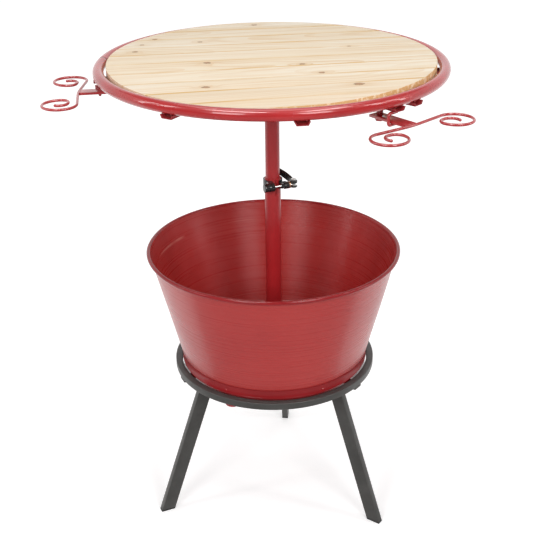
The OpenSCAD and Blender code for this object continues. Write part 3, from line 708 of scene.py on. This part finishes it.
# %% Clamp, pole and drain
softened("clamp_band", 0.7, enamel, "stand", "gloss_black", segments=3)
softened("clamp_nut", 0.9, enamel, "clamp_nut", "gloss_black", segments=3)
FIXED_TO_STAND = [
    ("clamp_draw_bolt", 0.3, plated, "bright_steel"), ("clamp_washers", 0.3, copper, "copper_washer"),
    ("clamp_cam_pin", 0.4, plated, "bright_steel"), ("lower_tube", 0.25, pole_paint, "red_paint"),
    ("pole_foot_plate", 0.6, pole_paint, "red_paint"), ("foot_plate_bolts", 0.5, plated, "bright_steel"),
    ("foot_plate_nuts", 0.5, plated, "bright_steel"),
]
for node, width, material, slot in FIXED_TO_STAND:
    softened(node, width, material, "stand", slot)
softened("drain_cap", 0.5, cap_plastic, "drain_cap", "red_plastic")
softened("drain_pipe", 0.5, drain_plastic, "stand", "red_plastic")
softened("drain_nut", 0.6, drain_plastic, "stand", "red_plastic")
print("clamp, pole and drain softened:", len(FIXED_TO_STAND) + 5, "nodes")

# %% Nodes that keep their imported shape
KEPT_SHAPES = [
    ("upper_tube", pole_paint), ("guide_bush", black_plastic), ("drain_gasket", seal),
    ("tub_floor_pan", tub_look),
]
for node, material in KEPT_SHAPES:
    for place in nodes[node].material_slots:
        place.material = material
print(len(KEPT_SHAPES), "nodes keep their shape")

# %% [markdown]
# ## The tub's wall
# The wall is a cone of thin sheet. At the bottom it steps in to an upright foot with a raised line, and
# at the top the sheet is rolled outwards into a round edge. Drawn as half an outline and spun, it comes
# out as one closed shell. Sheet metal is never quite true, so the wall is then pushed in and out by a
# fraction of a millimetre, which makes its reflections wander.

# %% Tub wall
SHEET = 1.0
ROLL_R = 3.5
STEP_OUT = 2.5
LINE_H = 14.9
WALL_ROWS = 14
WALL_WANDER = (1.1, 9)
roll_centre = TUB_EDGE_R - ROLL_R
wall_top = roll_centre - ROLL_R + SHEET


def tub_outline():
    """The sheet's outline: up the outside, round under the roll and over it, and down the inside."""
    outside = [(FOOT_R, BASE_Z)]
    for out, rise in ((0, -2), (1.1, -0.8), (1.3, 0), (1.1, 0.8), (0, 2)):
        outside.append((FOOT_R + out, BASE_Z + LINE_H + rise))
    for out, rise in ((0, -1), (0.4, 0.6), (STEP_OUT - 0.5, 2.2), (STEP_OUT, 4)):
        outside.append((FOOT_R + out, BASE_Z + FOOT_H + rise))
    low_r, low_z = outside[-1]
    slope = (wall_top - low_r) / (TOP_Z - ROLL_R - low_z)
    high_z = TOP_Z - ROLL_R - 2.4
    for row in range(1, WALL_ROWS + 1):
        z = low_z + (high_z - low_z) * row / WALL_ROWS
        outside.append((low_r + slope * (z - low_z), z))
    inside = [(r - SHEET, z) for r, z in reversed(outside)]
    return outside + arc(roll_centre, TOP_Z - ROLL_R, ROLL_R, 212, 540, 22) + inside


def level_direction(point):
    return Vector((point.x, point.y, 0)).normalized()


def wander(piece, amount, scale, seed=0):
    """Pushes the mesh out from the pole and in again by soft noise, as hand and press leave it."""
    edit(piece)
    move_points(piece, lambda point: point + level_direction(point) * (
        noise.noise(point * scale + Vector((seed, 0, 0))) * amount * MM))
    done()


tub_wall = lathe("tub_wall_spun", tub_outline(), smooth=50)
wander(tub_wall, *WALL_WANDER)
dress(tub_wall, tub_look, "stand", "red_paint", "tub_wall")
tub_wall.data.materials.append(edge_and_foot_painted_shade)
# The rolled edge and the foot take the darker red of painted shade
for face in tub_wall.data.polygons:
    z = face.center.z / MM
    rolled = z > TOP_Z - 2 * ROLL_R and from_pole(face.center) / MM > wall_top - SHEET / 2
    if rolled or z < BASE_Z + FOOT_H:
        face.material_index = 1
print("the tub's wall has", len(tub_wall.data.polygons), "faces")

# %% [markdown]
# ## Rivets
# Six rivets hold the floor pan in the foot of the wall. A rivet's head is a low dome: a sphere, cut in
# half and pressed flat, with a collar that sits on the sheet. It is modelled once and copied round.

# %% Rivets
RIVET_COUNT = 6
RIVET_HEAD_R = 2.6
RIVET_DOME = 0.62
RIVET_COLLAR = 1.2
RIVET_OUT = 0.15
rivet_low, rivet_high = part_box("tub_rivets")
rivet_z = (rivet_low.z + rivet_high.z) / 2 / MM


def rivet_head():
    bpy.ops.mesh.primitive_uv_sphere_add(segments=24, ring_count=16, radius=RIVET_HEAD_R * MM)
    head = bpy.context.object
    edit(head)
    select_all()
    bpy.ops.mesh.bisect(plane_co=(0, 0, 0), plane_no=(0, 0, 1), clear_inner=True, use_fill=True)
    select_all()
    bpy.ops.transform.resize(value=(1, 1, RIVET_DOME), center_override=(0, 0, 0))
    select_where(head, "FACE", lambda face: face.normal.z < -0.9)
    extrude((0, 0, -RIVET_COLLAR * MM))
    done()
    return head


rivet_places = []
for index in range(RIVET_COUNT):
    turn = (index + 0.5) * 360 / RIVET_COUNT
    rivet_places.append((
        spot(FOOT_R + RIVET_OUT, turn, rivet_z), (math.radians(90), 0, math.radians(turn)), (1, 1, 1)))
rivets = set_out(rivet_head(), "tub_rivet_heads", rivet_places)
shade(rivets, 50)
dress(rivets, ring_paint, "stand", "red_paint", "tub_rivets")
print(RIVET_COUNT, "domed rivets")

# %% [markdown]
# ## The ring round the table
# The ring is one round tube, bent into a circle and welded where its ends meet. A torus gives the tube.
# At the joint it is cut three times, close together, and the middle cut is drawn in, so that a fine
# groove is left as on the real one. The ring is not quite true either, so it wanders a little.

# %% Ring
rim_low, rim_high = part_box("table_rim")
RIM_TUBE_R = (rim_high.z - rim_low.z) / 2 / MM
RIM_R = rim_high.x / MM - RIM_TUBE_R
RIM_Z = (rim_high.z + rim_low.z) / 2 / MM
JOINT_HALF = 0.9
JOINT_DEPTH = 0.8
JOINT_REACH = 30
RING_WANDER = (0.25, 3)
joint_place = spot(RIM_R, JOINT_TURN, RIM_Z)
joint_across = sideways(JOINT_TURN)


def near_joint(point):
    return (point - joint_place).length < JOINT_REACH * MM


bpy.ops.mesh.primitive_torus_add(
    major_segments=288, minor_segments=40, major_radius=RIM_R * MM, minor_radius=RIM_TUBE_R * MM,
    location=(0, 0, RIM_Z * MM),
)
ring = settle(bpy.context.object)
ring.name = "table_ring"
edit(ring)
for shift in (-JOINT_HALF, 0, JOINT_HALF):
    select_where(ring, "FACE", lambda face: near_joint(face.calc_center_median()))
    bpy.ops.mesh.bisect(plane_co=joint_place + joint_across * shift * MM, plane_no=joint_across)
select_where(
    ring, "VERT",
    lambda vertex: abs((vertex.co - joint_place).dot(joint_across)) < 0.05 * MM and near_joint(vertex.co))
bpy.ops.transform.resize(value=(1 - JOINT_DEPTH / RIM_TUBE_R,) * 3, center_override=joint_place)
face_outwards()
done()
shade(ring, 60)
wander(ring, *RING_WANDER, seed=5)
dress(ring, ring_paint, "top", "red_paint", "table_rim")
print("ring of", round(2 * (RIM_R + RIM_TUBE_R)), "mm over a tube of", round(2 * RIM_TUBE_R), "mm")

# %% [markdown]
# ## Pine boards
# The top is ten pine boards, sawn round. A photographed board shows three things. Growth rings run along
# it as soft lines, because the saw cuts them lengthwise: they are circles round the tree's pith, which
# lies somewhere below the board. A knot is a branch that the rings flow round. And the sawn edges are
# more golden than the face. The material draws these: the distance to a pith line, bent by noise and
# by the knots, gives the rings, and a board has its own pith and its own knots. It also paints shade:
# the boards turn darker and more golden towards the front, where the front lamps light them most.

# %% Pine colours and sizes
BOARD_TURN = math.radians(8)
CHIPS_AT = 50
RING_SPACING = 5.2
CREAM = (0.79, 0.665, 0.50, 1)
PALE = (0.86, 0.80, 0.70, 1)
LATE_WOOD = (0.69, 0.48, 0.27, 1)
STREAK = (0.64, 0.42, 0.21, 1)
FRONT_PAINTED_SHADE = (0.70, 0.54, 0.37, 1)
SEAM_BROWN = (0.60, 0.36, 0.10, 1)
KNOT_RIM = (0.20, 0.095, 0.045, 1)
KNOT_HEART = (0.46, 0.26, 0.13, 1)
GOLDEN = (0.80, 0.50, 0.19, 1)
DEEP_GOLDEN = (0.62, 0.36, 0.13, 1)
CHIPPED = (0.93, 0.80, 0.55, 1)
PITH_DRIFT = 16
PITH_SWAY = 13
KNOT_LIFT = 1.9
SEAM_LINE = (4.2, 0.6)
FRONT_SHADE_BAND = (-0.10, -0.26)
TOP_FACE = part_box("board_5")[1].z
print("the boards' top lies", round(TOP_FACE / MM), "mm above the floor")

# %% Rings and knots


def ellipse(along, across, knot, reach_along, reach_across):
    """Squared distance from a knot, counted in its own reach along and across the board."""
    one = calc("DIVIDE", minus(along, knot[0] * MM), reach_along * knot[2] * MM)
    two = calc("DIVIDE", minus(across, knot[1] * MM), reach_across * knot[2] * MM)
    return plus(times(one, one), times(two, two))


def bell(value):
    """exp(-value), which is 1 at nought and dies away."""
    return calc("POWER", 1 / math.e, value)


def late_wood(grain, along, across, height, seed, shift, pith, tilt, knots):
    """The dark part of each growth ring, from 0 to 1, round a pith that lies below the board."""
    drift = speckle(grain, 1, stretch=(2.4, 9, 9), offset=shift)
    sway = speckle(grain, 1, stretch=(3.6, 5, 5), offset=(seed * 2.3, 4, seed))
    beside = plus(minus(across, pith[0] * MM), remap(drift, 0, 1, -PITH_DRIFT * MM, PITH_DRIFT * MM))
    below = plus(times(along, tilt), pith[1] * MM)
    below = plus(below, remap(sway, 0, 1, -PITH_SWAY * MM, PITH_SWAY * MM))
    below = plus(below, minus(height, TOP_FACE))
    for knot in knots:
        lift = times(bell(ellipse(along, across, knot, 2.8, 1.7)), KNOT_LIFT * knot[2] * MM)
        below = plus(below, lift)
    away = calc("SQRT", plus(times(beside, beside), times(below, below)))
    years = calc("FRACT", calc("DIVIDE", away, RING_SPACING * MM))
    late = remap(years, 0.45, 0.97, 0, 1, smooth=True)
    late = times(late, remap(years, 0.97, 1.0, 1, 0))
    fade = speckle(grain, 1, stretch=(3, 26, 26), offset=(7, seed, 2))
    return times(late, remap(fade, 0.35, 0.68, 0.10, 0.75))


def sawn_edge(place, pores):
    """How far the surface is a sawn edge, from 0 to 1, and the edge's golden colour."""
    flat = calc("ABSOLUTE", split(coordinate(place.id_data, "Normal"))["Z"])
    bare = remap(measure("DOT_PRODUCT", place, outward(CHIPS_AT)), 0.17, 0.24, 0.25, 0.9)
    chips = remap(speckle(place, 160, detail=3, offset=(6, 2, 1)), 0.52, 0.60, 0, 0.8)
    colour = blend(remap(pores, 0.35, 0.7, 0, 1), GOLDEN, DEEP_GOLDEN)
    return times(remap(flat, 0.93, 0.55, 0, 1, smooth=True), bare), blend(chips, colour, CHIPPED)


print("rings, knots and sawn edges")

# %% Pine material


def pine(name, low, high, seed, pith, tilt, knots):
    """low and high are the board's two seams; pith is across and below; a knot is along, across, size."""
    material, shader, place = start_material(name)
    grain = add_node(
        place.id_data, "ShaderNodeMapping", {"Rotation": (0, 0, -BOARD_TURN), "Vector": place}).outputs[0]
    along, across, height = split(grain)
    shift = (seed * 3.1, seed * 1.7, seed * 0.9)
    late = late_wood(grain, along, across, height, seed, shift, pith, tilt, knots)
    broad = speckle(grain, 1, detail=3, stretch=(1.8, 42, 42), offset=shift, roughness=0.6)
    fibre = speckle(grain, 1, detail=3, stretch=(16, 800, 800), roughness=0.6)
    colour = blend(remap(broad, 0.34, 0.56, 0.8, 0.0), CREAM, PALE)
    colour = blend(late, colour, LATE_WOOD)
    colour = blend(remap(broad, 0.58, 0.78, 0, 0.55), colour, STREAK)
    colour = blend(remap(fibre, 0.45, 0.75, 0, 0.20), colour, LATE_WOOD)
    # Painted shade: darker and more golden towards the front, where the front lamps light the boards most
    colour = blend(remap(across, *FRONT_SHADE_BAND, 0, 0.55), colour, FRONT_PAINTED_SHADE)
    ragged = remap(speckle(grain, 240, detail=3, offset=shift), 0.3, 0.7, -0.45, 0.45)
    for knot in knots:
        colour = blend(times(bell(ellipse(along, across, knot, 3.4, 1.5)), 0.50), colour, STREAK)
        spot_at = plus(ellipse(along, across, knot, 1, 0.85), ragged)
        colour = blend(remap(spot_at, 1.15, 0.75, 0, 0.78, smooth=True), colour, KNOT_RIM)
        colour = blend(remap(spot_at, 0.62, 0.30, 0, 0.85, smooth=True), colour, KNOT_HEART)
    patchy = speckle(grain, 1, stretch=(5, 5, 5), offset=(1, seed * 1.3, 5))
    patchy = remap(patchy, 0.38, 0.58, 0.22, 0.95)
    for seam, inside in ((low, 1), (high, -1)):
        line = times(minus(across, seam), inside)
        line = remap(line, SEAM_LINE[0] * MM, SEAM_LINE[1] * MM, 0, 1, smooth=True)
        colour = blend(times(line, patchy), colour, SEAM_BROWN)
    pores = speckle(place, 900)
    sawn, edge_colour = sawn_edge(place, pores)
    relief = plus(times(fibre, 0.6), times(late, 0.5))
    plug(shader, {
        "Base Color": blend(sawn, colour, edge_colour),
        "Roughness": remap(fibre, 0.3, 0.7, 0.58, 0.74),
        "Normal": bump(pores, 0.12, 0.0004, bump(relief, 0.22, 0.0005)),
        "Specular IOR Level": 0.35,
    })
    return material


print("pine ready")

# %% [markdown]
# ## Cutting the boards
# Each board is cut from the whole round top, as the real one was: a cylinder is bisected at its two
# seams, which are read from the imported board. The round edge was cut with a jigsaw, so it wavers by a
# few tenths and has lost chips at the right front, where its golden end grain shows.

# %% Boards
# Knots as along, across and size, in millimetres from the middle of the table
KNOTS = [
    (110, -186, 8.5), (44, -50, 5.5), (66, -108, 6.0), (-110, -13, 6.5), (-124, -152, 6.5),
    (3, 253, 6.0), (-110, 133, 4.5), (-227, 82, 5.0), (-213, 129, 4.0), (-189, 168, 5.0), (145, 54, 4.0),
]
KNOT_NEAR = 4
BOARD_COUNT = 10
EDGE_STEPS = 720
EDGE_BAND = 1.5
EDGE_WAVER = ((24, 0.22), (90, 0.12))
EDGE_IN = 0.3
CHIP_TURNS = (22, 78)
CHIP_DEPTH = 1.6
CHIP_FROM = 5
DROP = 6.5
DROP_TURN = -25
PITH_ASIDE = 34
PITH_DEPTH = (-62, -26)
PITH_TILT = 0.045
ACROSS = Vector((-math.sin(BOARD_TURN), math.cos(BOARD_TURN), 0))
board_low_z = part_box("board_5")[0].z
board_spans = []
for index in range(1, BOARD_COUNT + 1):
    places = [vertex.co.dot(ACROSS) for vertex in nodes["board_%d" % index].data.vertices]
    board_spans.append((min(places), max(places)))
BOARDS_R = max(from_pole(vertex.co) for vertex in nodes["board_5"].data.vertices) / MM


def top_drop(point):
    """How far the planed top lies under its full height there: it falls a little towards the front left."""
    return DROP * max(0.0, point.dot(outward(DROP_TURN)) / (BOARDS_R * MM)) ** 2


def sawn_place(point):
    """Where a point of the board ends up: lower at the front left, and in or out at the round edge."""
    point = point.copy()
    if point.z > TOP_FACE - MM:
        point.z -= top_drop(point) * MM
    if from_pole(point) < (BOARDS_R - EDGE_BAND) * MM:
        return point
    level = level_direction(point)
    push = sum(noise.noise(level * scale) * size for scale, size in EDGE_WAVER) - EDGE_IN
    if CHIP_TURNS[0] < turn_of(point) < CHIP_TURNS[1] and point.z > board_low_z + CHIP_FROM * MM:
        push -= max(0.0, noise.noise(level * 60 + Vector((9, 0, 0)))) * CHIP_DEPTH
    return point + level * push * MM


def cut_board(index):
    low, high = board_spans[index - 1]
    bpy.ops.mesh.primitive_cylinder_add(
        vertices=EDGE_STEPS, radius=BOARDS_R * MM, depth=TOP_FACE - board_low_z,
        location=(0, 0, (TOP_FACE + board_low_z) / 2), end_fill_type="NGON",
    )
    board = settle(bpy.context.object)
    board.name = "pine_board_%d" % index
    edit(board)
    for seam, side in ((low, -1), (high, 1)):
        if abs(seam) < (BOARDS_R - 1) * MM:
            select_all()
            bpy.ops.mesh.bisect(
                plane_co=ACROSS * seam, plane_no=ACROSS * side, clear_outer=True, use_fill=True)
    move_points(board, sawn_place)
    done()
    soften(board, 0.9, segments=3, angle=40)
    here = [knot for knot in KNOTS if low / MM - KNOT_NEAR < knot[1] < high / MM + KNOT_NEAR]
    pith = (
        (low + high) / 2 / MM + PITH_ASIDE * math.sin(index * 2.4),
        PITH_DEPTH[0] + PITH_DEPTH[1] * math.cos(index * 1.7))
    look = pine("pine_%d" % index, low, high, index, pith, PITH_TILT * math.sin(index * 3.3), here)
    return dress(board, look, "top", "pine", "board_%d" % index)


for index in range(1, BOARD_COUNT + 1):
    cut_board(index)
widest = max(high - low for low, high in board_spans)
print(BOARD_COUNT, "boards, the widest", round(widest / MM, 1), "mm")

# %% [markdown]
# ## Screws under the boards
# Pan-head screws hold the boards from below. One head is modelled: a cylinder whose rim is rounded and
# whose face has a cross recess, cut by a pair of thin boxes. It is copied to each packed screw's place,
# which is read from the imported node: every loose part of its mesh is one screw.

# %% Board screws
HEAD_R = 4.0
HEAD_H = 2.4
CROSS_LENGTH = 5.0
CROSS_WIDTH = 0.95
CROSS_HEIGHT = 2.2
SCREW_TURN = 0.9


def cutter_box(size, location):
    bpy.ops.mesh.primitive_cube_add(size=1, location=location)
    box = bpy.context.object
    box.scale = size
    return settle(box)


def cut_with(piece, cutter):
    apply_modifier(piece, "BOOLEAN", object=cutter, operation="DIFFERENCE", solver="EXACT")
    bpy.data.objects.remove(cutter)


def screw_head():
    bpy.ops.mesh.primitive_cylinder_add(
        vertices=28, radius=HEAD_R * MM, depth=HEAD_H * MM, location=(0, 0, -HEAD_H / 2 * MM))
    head = settle(bpy.context.object)
    soften(head, 0.9, segments=3, angle=60)
    for width, depth in ((CROSS_LENGTH, CROSS_WIDTH), (CROSS_WIDTH, CROSS_LENGTH)):
        cut_with(head, cutter_box((width * MM, depth * MM, CROSS_HEIGHT * MM), (0, 0, -HEAD_H * MM)))
    return head


def loose_middles(node):
    """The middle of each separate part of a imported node, found by growing it from one vertex."""
    shape = bmesh.new()
    shape.from_mesh(nodes[node].data)
    bmesh.ops.remove_doubles(shape, verts=shape.verts, dist=1e-6)
    waiting = set(shape.verts)
    middles = []
    while waiting:
        group = [waiting.pop()]
        for vertex in group:
            for line in vertex.link_edges:
                other = line.other_vert(vertex)
                if other in waiting:
                    waiting.remove(other)
                    group.append(other)
        spans = [[vertex.co[axis] for vertex in group] for axis in (0, 1)]
        middles.append(tuple((min(span) + max(span)) / 2 for span in spans))
    shape.free()
    return sorted(middles)


head_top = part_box("board_screws")[0].z + HEAD_H * MM
screw_places = []
for index, (x, y) in enumerate(loose_middles("board_screws")):
    screw_places.append(((x, y, head_top), (0, 0, index * SCREW_TURN), (1, 1, 1)))
heads = set_out(screw_head(), "board_screw_heads", screw_places)
dress(heads, plated, "top", "bright_steel", "board_screws")
print(len(screw_places), "screw heads with cross recesses")

# %% [markdown]
# ## Bent wire
# The scroll wires and the rest hooks are round bar, bent over pegs. A circle is extruded along each
# straight run and spun round each peg, which is how the bar itself was made, and its end is drawn in to
# a dome. One half is enough: a mirror gives the other. Every wire is then turned to its place.

# %% Wire helper
WIRE_SIDES = 20
BEND_STEP = 5
ROD_DOME = ((0.35, 0.92), (0.30, 0.72), (0.18, 0.45))


def heading_of(angle):
    return Vector((math.cos(math.radians(angle)), math.sin(math.radians(angle)), 0))


def bent_rod(name, diameter, runs):
    """Half a rod, from the origin along X. A run is (length,) or (radius, angle), to the left above 0."""
    bpy.ops.mesh.primitive_circle_add(
        vertices=WIRE_SIDES, radius=diameter / 2 * MM, rotation=(0, math.pi / 2, 0))
    rod = settle(bpy.context.object)
    rod.name = name
    edit(rod)
    bpy.ops.mesh.select_mode(type="EDGE")
    select_all()
    at = Vector((0, 0, 0))
    heading = 0.0
    for run in runs:
        if len(run) == 1:
            step = heading_of(heading) * run[0] * MM
            extrude(step)
            at = at + step
        else:
            radius, angle = run
            left = 1 if angle > 0 else -1
            centre = at + heading_of(heading + 90 * left) * radius * MM
            steps = max(2, round(abs(angle) / BEND_STEP))
            bpy.ops.mesh.spin(
                steps=steps, angle=-math.radians(angle), center=centre, axis=(0, 0, 1),
                use_auto_merge=False)
            at = centre - heading_of(heading + angle + 90 * left) * radius * MM
            heading += angle
    for lift, share in ROD_DOME:
        step = heading_of(heading) * lift * diameter / 2 * MM
        extrude(step)
        at = at + step
        bpy.ops.transform.resize(value=(share, share, share), center_override=at)
    bpy.ops.mesh.edge_face_add()
    done()
    return mirrored(rod)


def mirrored(rod):
    """Adds the other half of a rod."""
    apply_modifier(rod, "MIRROR", use_axis=(True, False, False), use_clip=True, merge_threshold=1e-5)
    edit(rod)
    close_shell()
    done()
    shade(rod, 60)
    return rod


def put_on_axes(piece, x_axis, y_axis, origin):
    """Moves a piece from its own axes to these, and settles it there."""
    z_axis = x_axis.cross(y_axis)
    place = Matrix((x_axis, y_axis, z_axis)).transposed().to_4x4()
    place.translation = origin
    piece.matrix_world = place
    return settle(piece)


print("bent rod helper ready")

# %% Scroll wires
WIRE_D = 4.8
WIRE_R = 325
WIRE_Z = 822
BOW_R = 200
LOOP_R = 28
CURL_R = 14
LOOP_OFFSET = 71.5
WIRE_SLOPE = 5.5
HOLDERS = {"right": (40, 0), "left": (-81.5, -6), "rear": (160, 0)}
slope_length = LOOP_OFFSET - (BOW_R + LOOP_R) * math.sin(math.radians(WIRE_SLOPE))
slope_length /= math.cos(math.radians(WIRE_SLOPE))
WIRE_RUNS = [
    (BOW_R, WIRE_SLOPE), (slope_length,), (LOOP_R, -270), (CURL_R, -90), (4,), (CURL_R, -120),
]
scroll = bent_rod("scroll", WIRE_D, WIRE_RUNS)
for side, (turn, skew) in HOLDERS.items():
    wire = copy_of(scroll, "scroll_wire_" + side)
    put_on_axes(wire, sideways(turn + skew), -outward(turn + skew), spot(WIRE_R, turn, WIRE_Z))
    dress(wire, wire_paint, "holder_" + side, "red_paint", "glass_wire_" + side)
bpy.data.objects.remove(scroll)
print("three scroll wires")

# %% Rest hooks
HOOK_D = 5
HOOK_R = 290
HOOK_BEND = 4.5
HOOK_SIDE = 15
HOOK_REACH = 4
HOOK_DOME = 1.6
hook_low, hook_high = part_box("rest_hooks")
hook_middle = (hook_low.z + hook_high.z) / 2 / MM
hook_half = (hook_high.z - hook_low.z) / 2 / MM - HOOK_D / 2
HOOK_RUNS = [
    (hook_half - HOOK_BEND,), (HOOK_BEND, 90), (HOOK_SIDE + HOOK_REACH - HOOK_BEND - HOOK_DOME,),
]
hook = bent_rod("hook", HOOK_D, HOOK_RUNS)
hooks = []
for side, (turn, skew) in HOLDERS.items():
    made = copy_of(hook, "hook_" + side)
    origin = spot(HOOK_R, turn, hook_middle) - sideways(turn) * HOOK_SIDE * MM
    hooks.append(put_on_axes(made, Vector((0, 0, 1)), sideways(turn), origin))
bpy.data.objects.remove(hook)
dress(join("bent_rest_hooks", hooks), wire_paint, "top", "red_paint", "rest_hooks")
print("three rest hooks,", round(2 * hook_half), "mm high")

# %% [markdown]
# ## Weld beads
# The arms are welded to the ring and the wires to their arms, by hand, and the paint covers the beads.
# A bead is a row of small drops that ran into each other. So drops, which are spheres pressed a little
# flat, are set along a line with the size of each one varied, and a voxel remesh melts them together.

# %% Weld beads
DROP_STEP = 1.7
DROP_SIZE = 0.85
DROP_SWELL = 0.3
DROP_FLAT = 0.8
MELT = 0.45
RING_DROP_R = 1.5
RING_BEAD_HALF = 5
RING_BEAD_RISE = 0.9
ARM_HALF = 6.5


def weld(name, lines, drop_r):
    """Melts drops along each line, given as its start and end, into one lumpy bead a line."""
    bpy.ops.mesh.primitive_ico_sphere_add(subdivisions=2, radius=drop_r * MM)
    drop = bpy.context.object
    places = []
    for start, end in lines:
        count = max(2, round((end - start).length / (DROP_STEP * MM)))
        for step in range(count + 1):
            at = start.lerp(end, step / count)
            swell = DROP_SIZE + DROP_SWELL * noise.noise(at * 300)
            places.append((at, (0, 0, 0), (swell, swell, swell * DROP_FLAT)))
    bead = set_out(drop, name, places)
    apply_modifier(bead, "REMESH", mode="VOXEL", voxel_size=MELT * MM)
    apply_modifier(bead, "SMOOTH", factor=0.6, iterations=3)
    bpy.ops.object.shade_smooth()
    return bead


def turn_of_end(node):
    """The turn of the middle of an arm's outer end."""
    points = [vertex.co for vertex in nodes[node].data.vertices]
    reach = max(from_pole(point) for point in points)
    outer = [point for point in points if from_pole(point) > reach - 2 * MM]
    return turn_of(sum(outer, Vector()) / len(outer))


arm_lines = []
bead_z = RIM_Z - RIM_TUBE_R + RING_BEAD_RISE
for turn in [turn_of_end(node) for node in ARMS + STRAPS]:
    for side in (-1, 1):
        shift = sideways(turn) * side * ARM_HALF * MM
        ends = (RIM_R - RING_BEAD_HALF, RIM_R + RING_BEAD_HALF)
        arm_lines.append([spot(end, turn, bead_z) + shift for end in ends])
ring_welds = dress(weld("ring_weld_beads", arm_lines, RING_DROP_R), under_table_painted_shade, "top", "red_paint")
print(len(arm_lines), "beads under the ring,", len(ring_welds.data.polygons), "faces")

# %% Beads at the wires
WIRE_DROP_R = 1.2
WIRE_BEAD_HALF = 9
WIRE_BEAD_RISE = 1.9
WIRE_BEAD_OUT = 0.3
for side, (turn, skew) in HOLDERS.items():
    middle = spot(WIRE_R - WIRE_D / 2 + WIRE_BEAD_OUT, turn, WIRE_Z)
    half = sideways(turn + skew) * WIRE_BEAD_HALF * MM
    lines = []
    for rise in (-WIRE_BEAD_RISE, WIRE_BEAD_RISE):
        at = Vector((0, 0, rise * MM))
        lines.append((at - half + middle, at + half + middle))
    beads = weld("wire_weld_beads_" + side, lines, WIRE_DROP_R)
    dress(beads, wire_paint, "holder_" + side, "red_paint")
print("beads where three wires meet their arms")

# %% [markdown]
# ## The clamp's lever
# The lever is one casting: a round cam that turns on its pin, slotted for the bolt's eye, and a blade
# that climbs as it curls round the tube. A box is cut into slices along its length and its slices are
# laid along the curl, then the edges are rounded and the cam is joined on. The pin's bore, the eye's
# room and the slot are cut last.

# %% Clamp lever
CLAMP_TURN = 22
CLAMP_Z = 641
PIN_X = 31.0
PIN_Y = -22.0
PIN_BORE_R = 2.58
CAM_R = 6.75
CAM_LOW = -5.0
CAM_TOP = 7.5
BLADE_T = 4.5
BLADE_H = 12.5
BLADE_R = (36.0, 24.5)
BLADE_TURNS = (-27.4, 68.0)
BLADE_START = 1
BLADE_RISE = 18.0
BLADE_CLIMB = 1.2
BLADE_CURL = 2.2
BLADE_TAPER = 0.22
BLADE_SLICES = 28
EYE_ROOM_R = 4.8
SLOT_HALF = 3.1
SLOT_LENGTH = 27
SLOT_WIDTH = 16.3
SLOT_START = 13.5


def blade_place(point):
    """Where a point of the unit cube goes: X runs along the blade, Y and Z are out and up in its section."""
    along = point.x + 0.5
    r = BLADE_R[1] + (BLADE_R[0] - BLADE_R[1]) * (1 - along) ** BLADE_CURL + point.y * BLADE_T
    turn = math.radians(BLADE_TURNS[0] + along * (BLADE_TURNS[1] - BLADE_TURNS[0]))
    taper = 1 - BLADE_TAPER * along ** 3
    z = BLADE_START + BLADE_RISE * along ** BLADE_CLIMB + point.z * BLADE_H * taper
    return Vector((r * math.cos(turn), r * math.sin(turn), z)) * MM


def lever_blade():
    bpy.ops.mesh.primitive_cube_add(size=1)
    blade = bpy.context.object
    edit(blade)
    bpy.ops.mesh.select_all(action="DESELECT")
    shape = bmesh.from_edit_mesh(blade.data)
    for line in shape.edges:
        line.select_set(abs(line.verts[0].co.x - line.verts[1].co.x) > 0.5)
    bmesh.update_edit_mesh(blade.data)
    bpy.ops.mesh.subdivide(number_cuts=BLADE_SLICES)
    move_points(blade, blade_place)
    face_outwards()
    done()
    soften(blade, 1.7, segments=4, angle=50)
    return blade


def pin_cylinder(radius, low, high):
    bpy.ops.mesh.primitive_cylinder_add(
        vertices=64, radius=radius * MM, depth=(high - low) * MM,
        location=(PIN_X * MM, PIN_Y * MM, (low + high) / 2 * MM))
    return settle(bpy.context.object)


lever = pin_cylinder(CAM_R, CAM_LOW, CAM_TOP)
soften(lever, 1.0, segments=3, angle=60)
blade = lever_blade()
apply_modifier(lever, "BOOLEAN", object=blade, operation="UNION", solver="EXACT")
bpy.data.objects.remove(blade)
cut_with(lever, pin_cylinder(PIN_BORE_R, CAM_LOW - 1, CAM_TOP + 1))
cut_with(lever, pin_cylinder(EYE_ROOM_R, -SLOT_HALF, SLOT_HALF))
slot_size = (SLOT_LENGTH * MM, SLOT_WIDTH * MM, 2 * SLOT_HALF * MM)
cut_with(lever, cutter_box(slot_size, (PIN_X * MM, (PIN_Y - SLOT_START + SLOT_WIDTH / 2) * MM, 0)))
shade(lever, 40)
named(lever, "clamp_lever_cast")
put_on_axes(lever, sideways(CLAMP_TURN), -outward(CLAMP_TURN), Vector((0, 0, CLAMP_Z * MM)))
dress(lever, enamel, "clamp_lever", "gloss_black", "clamp_lever")
print("the lever has", len(lever.data.polygons), "faces")
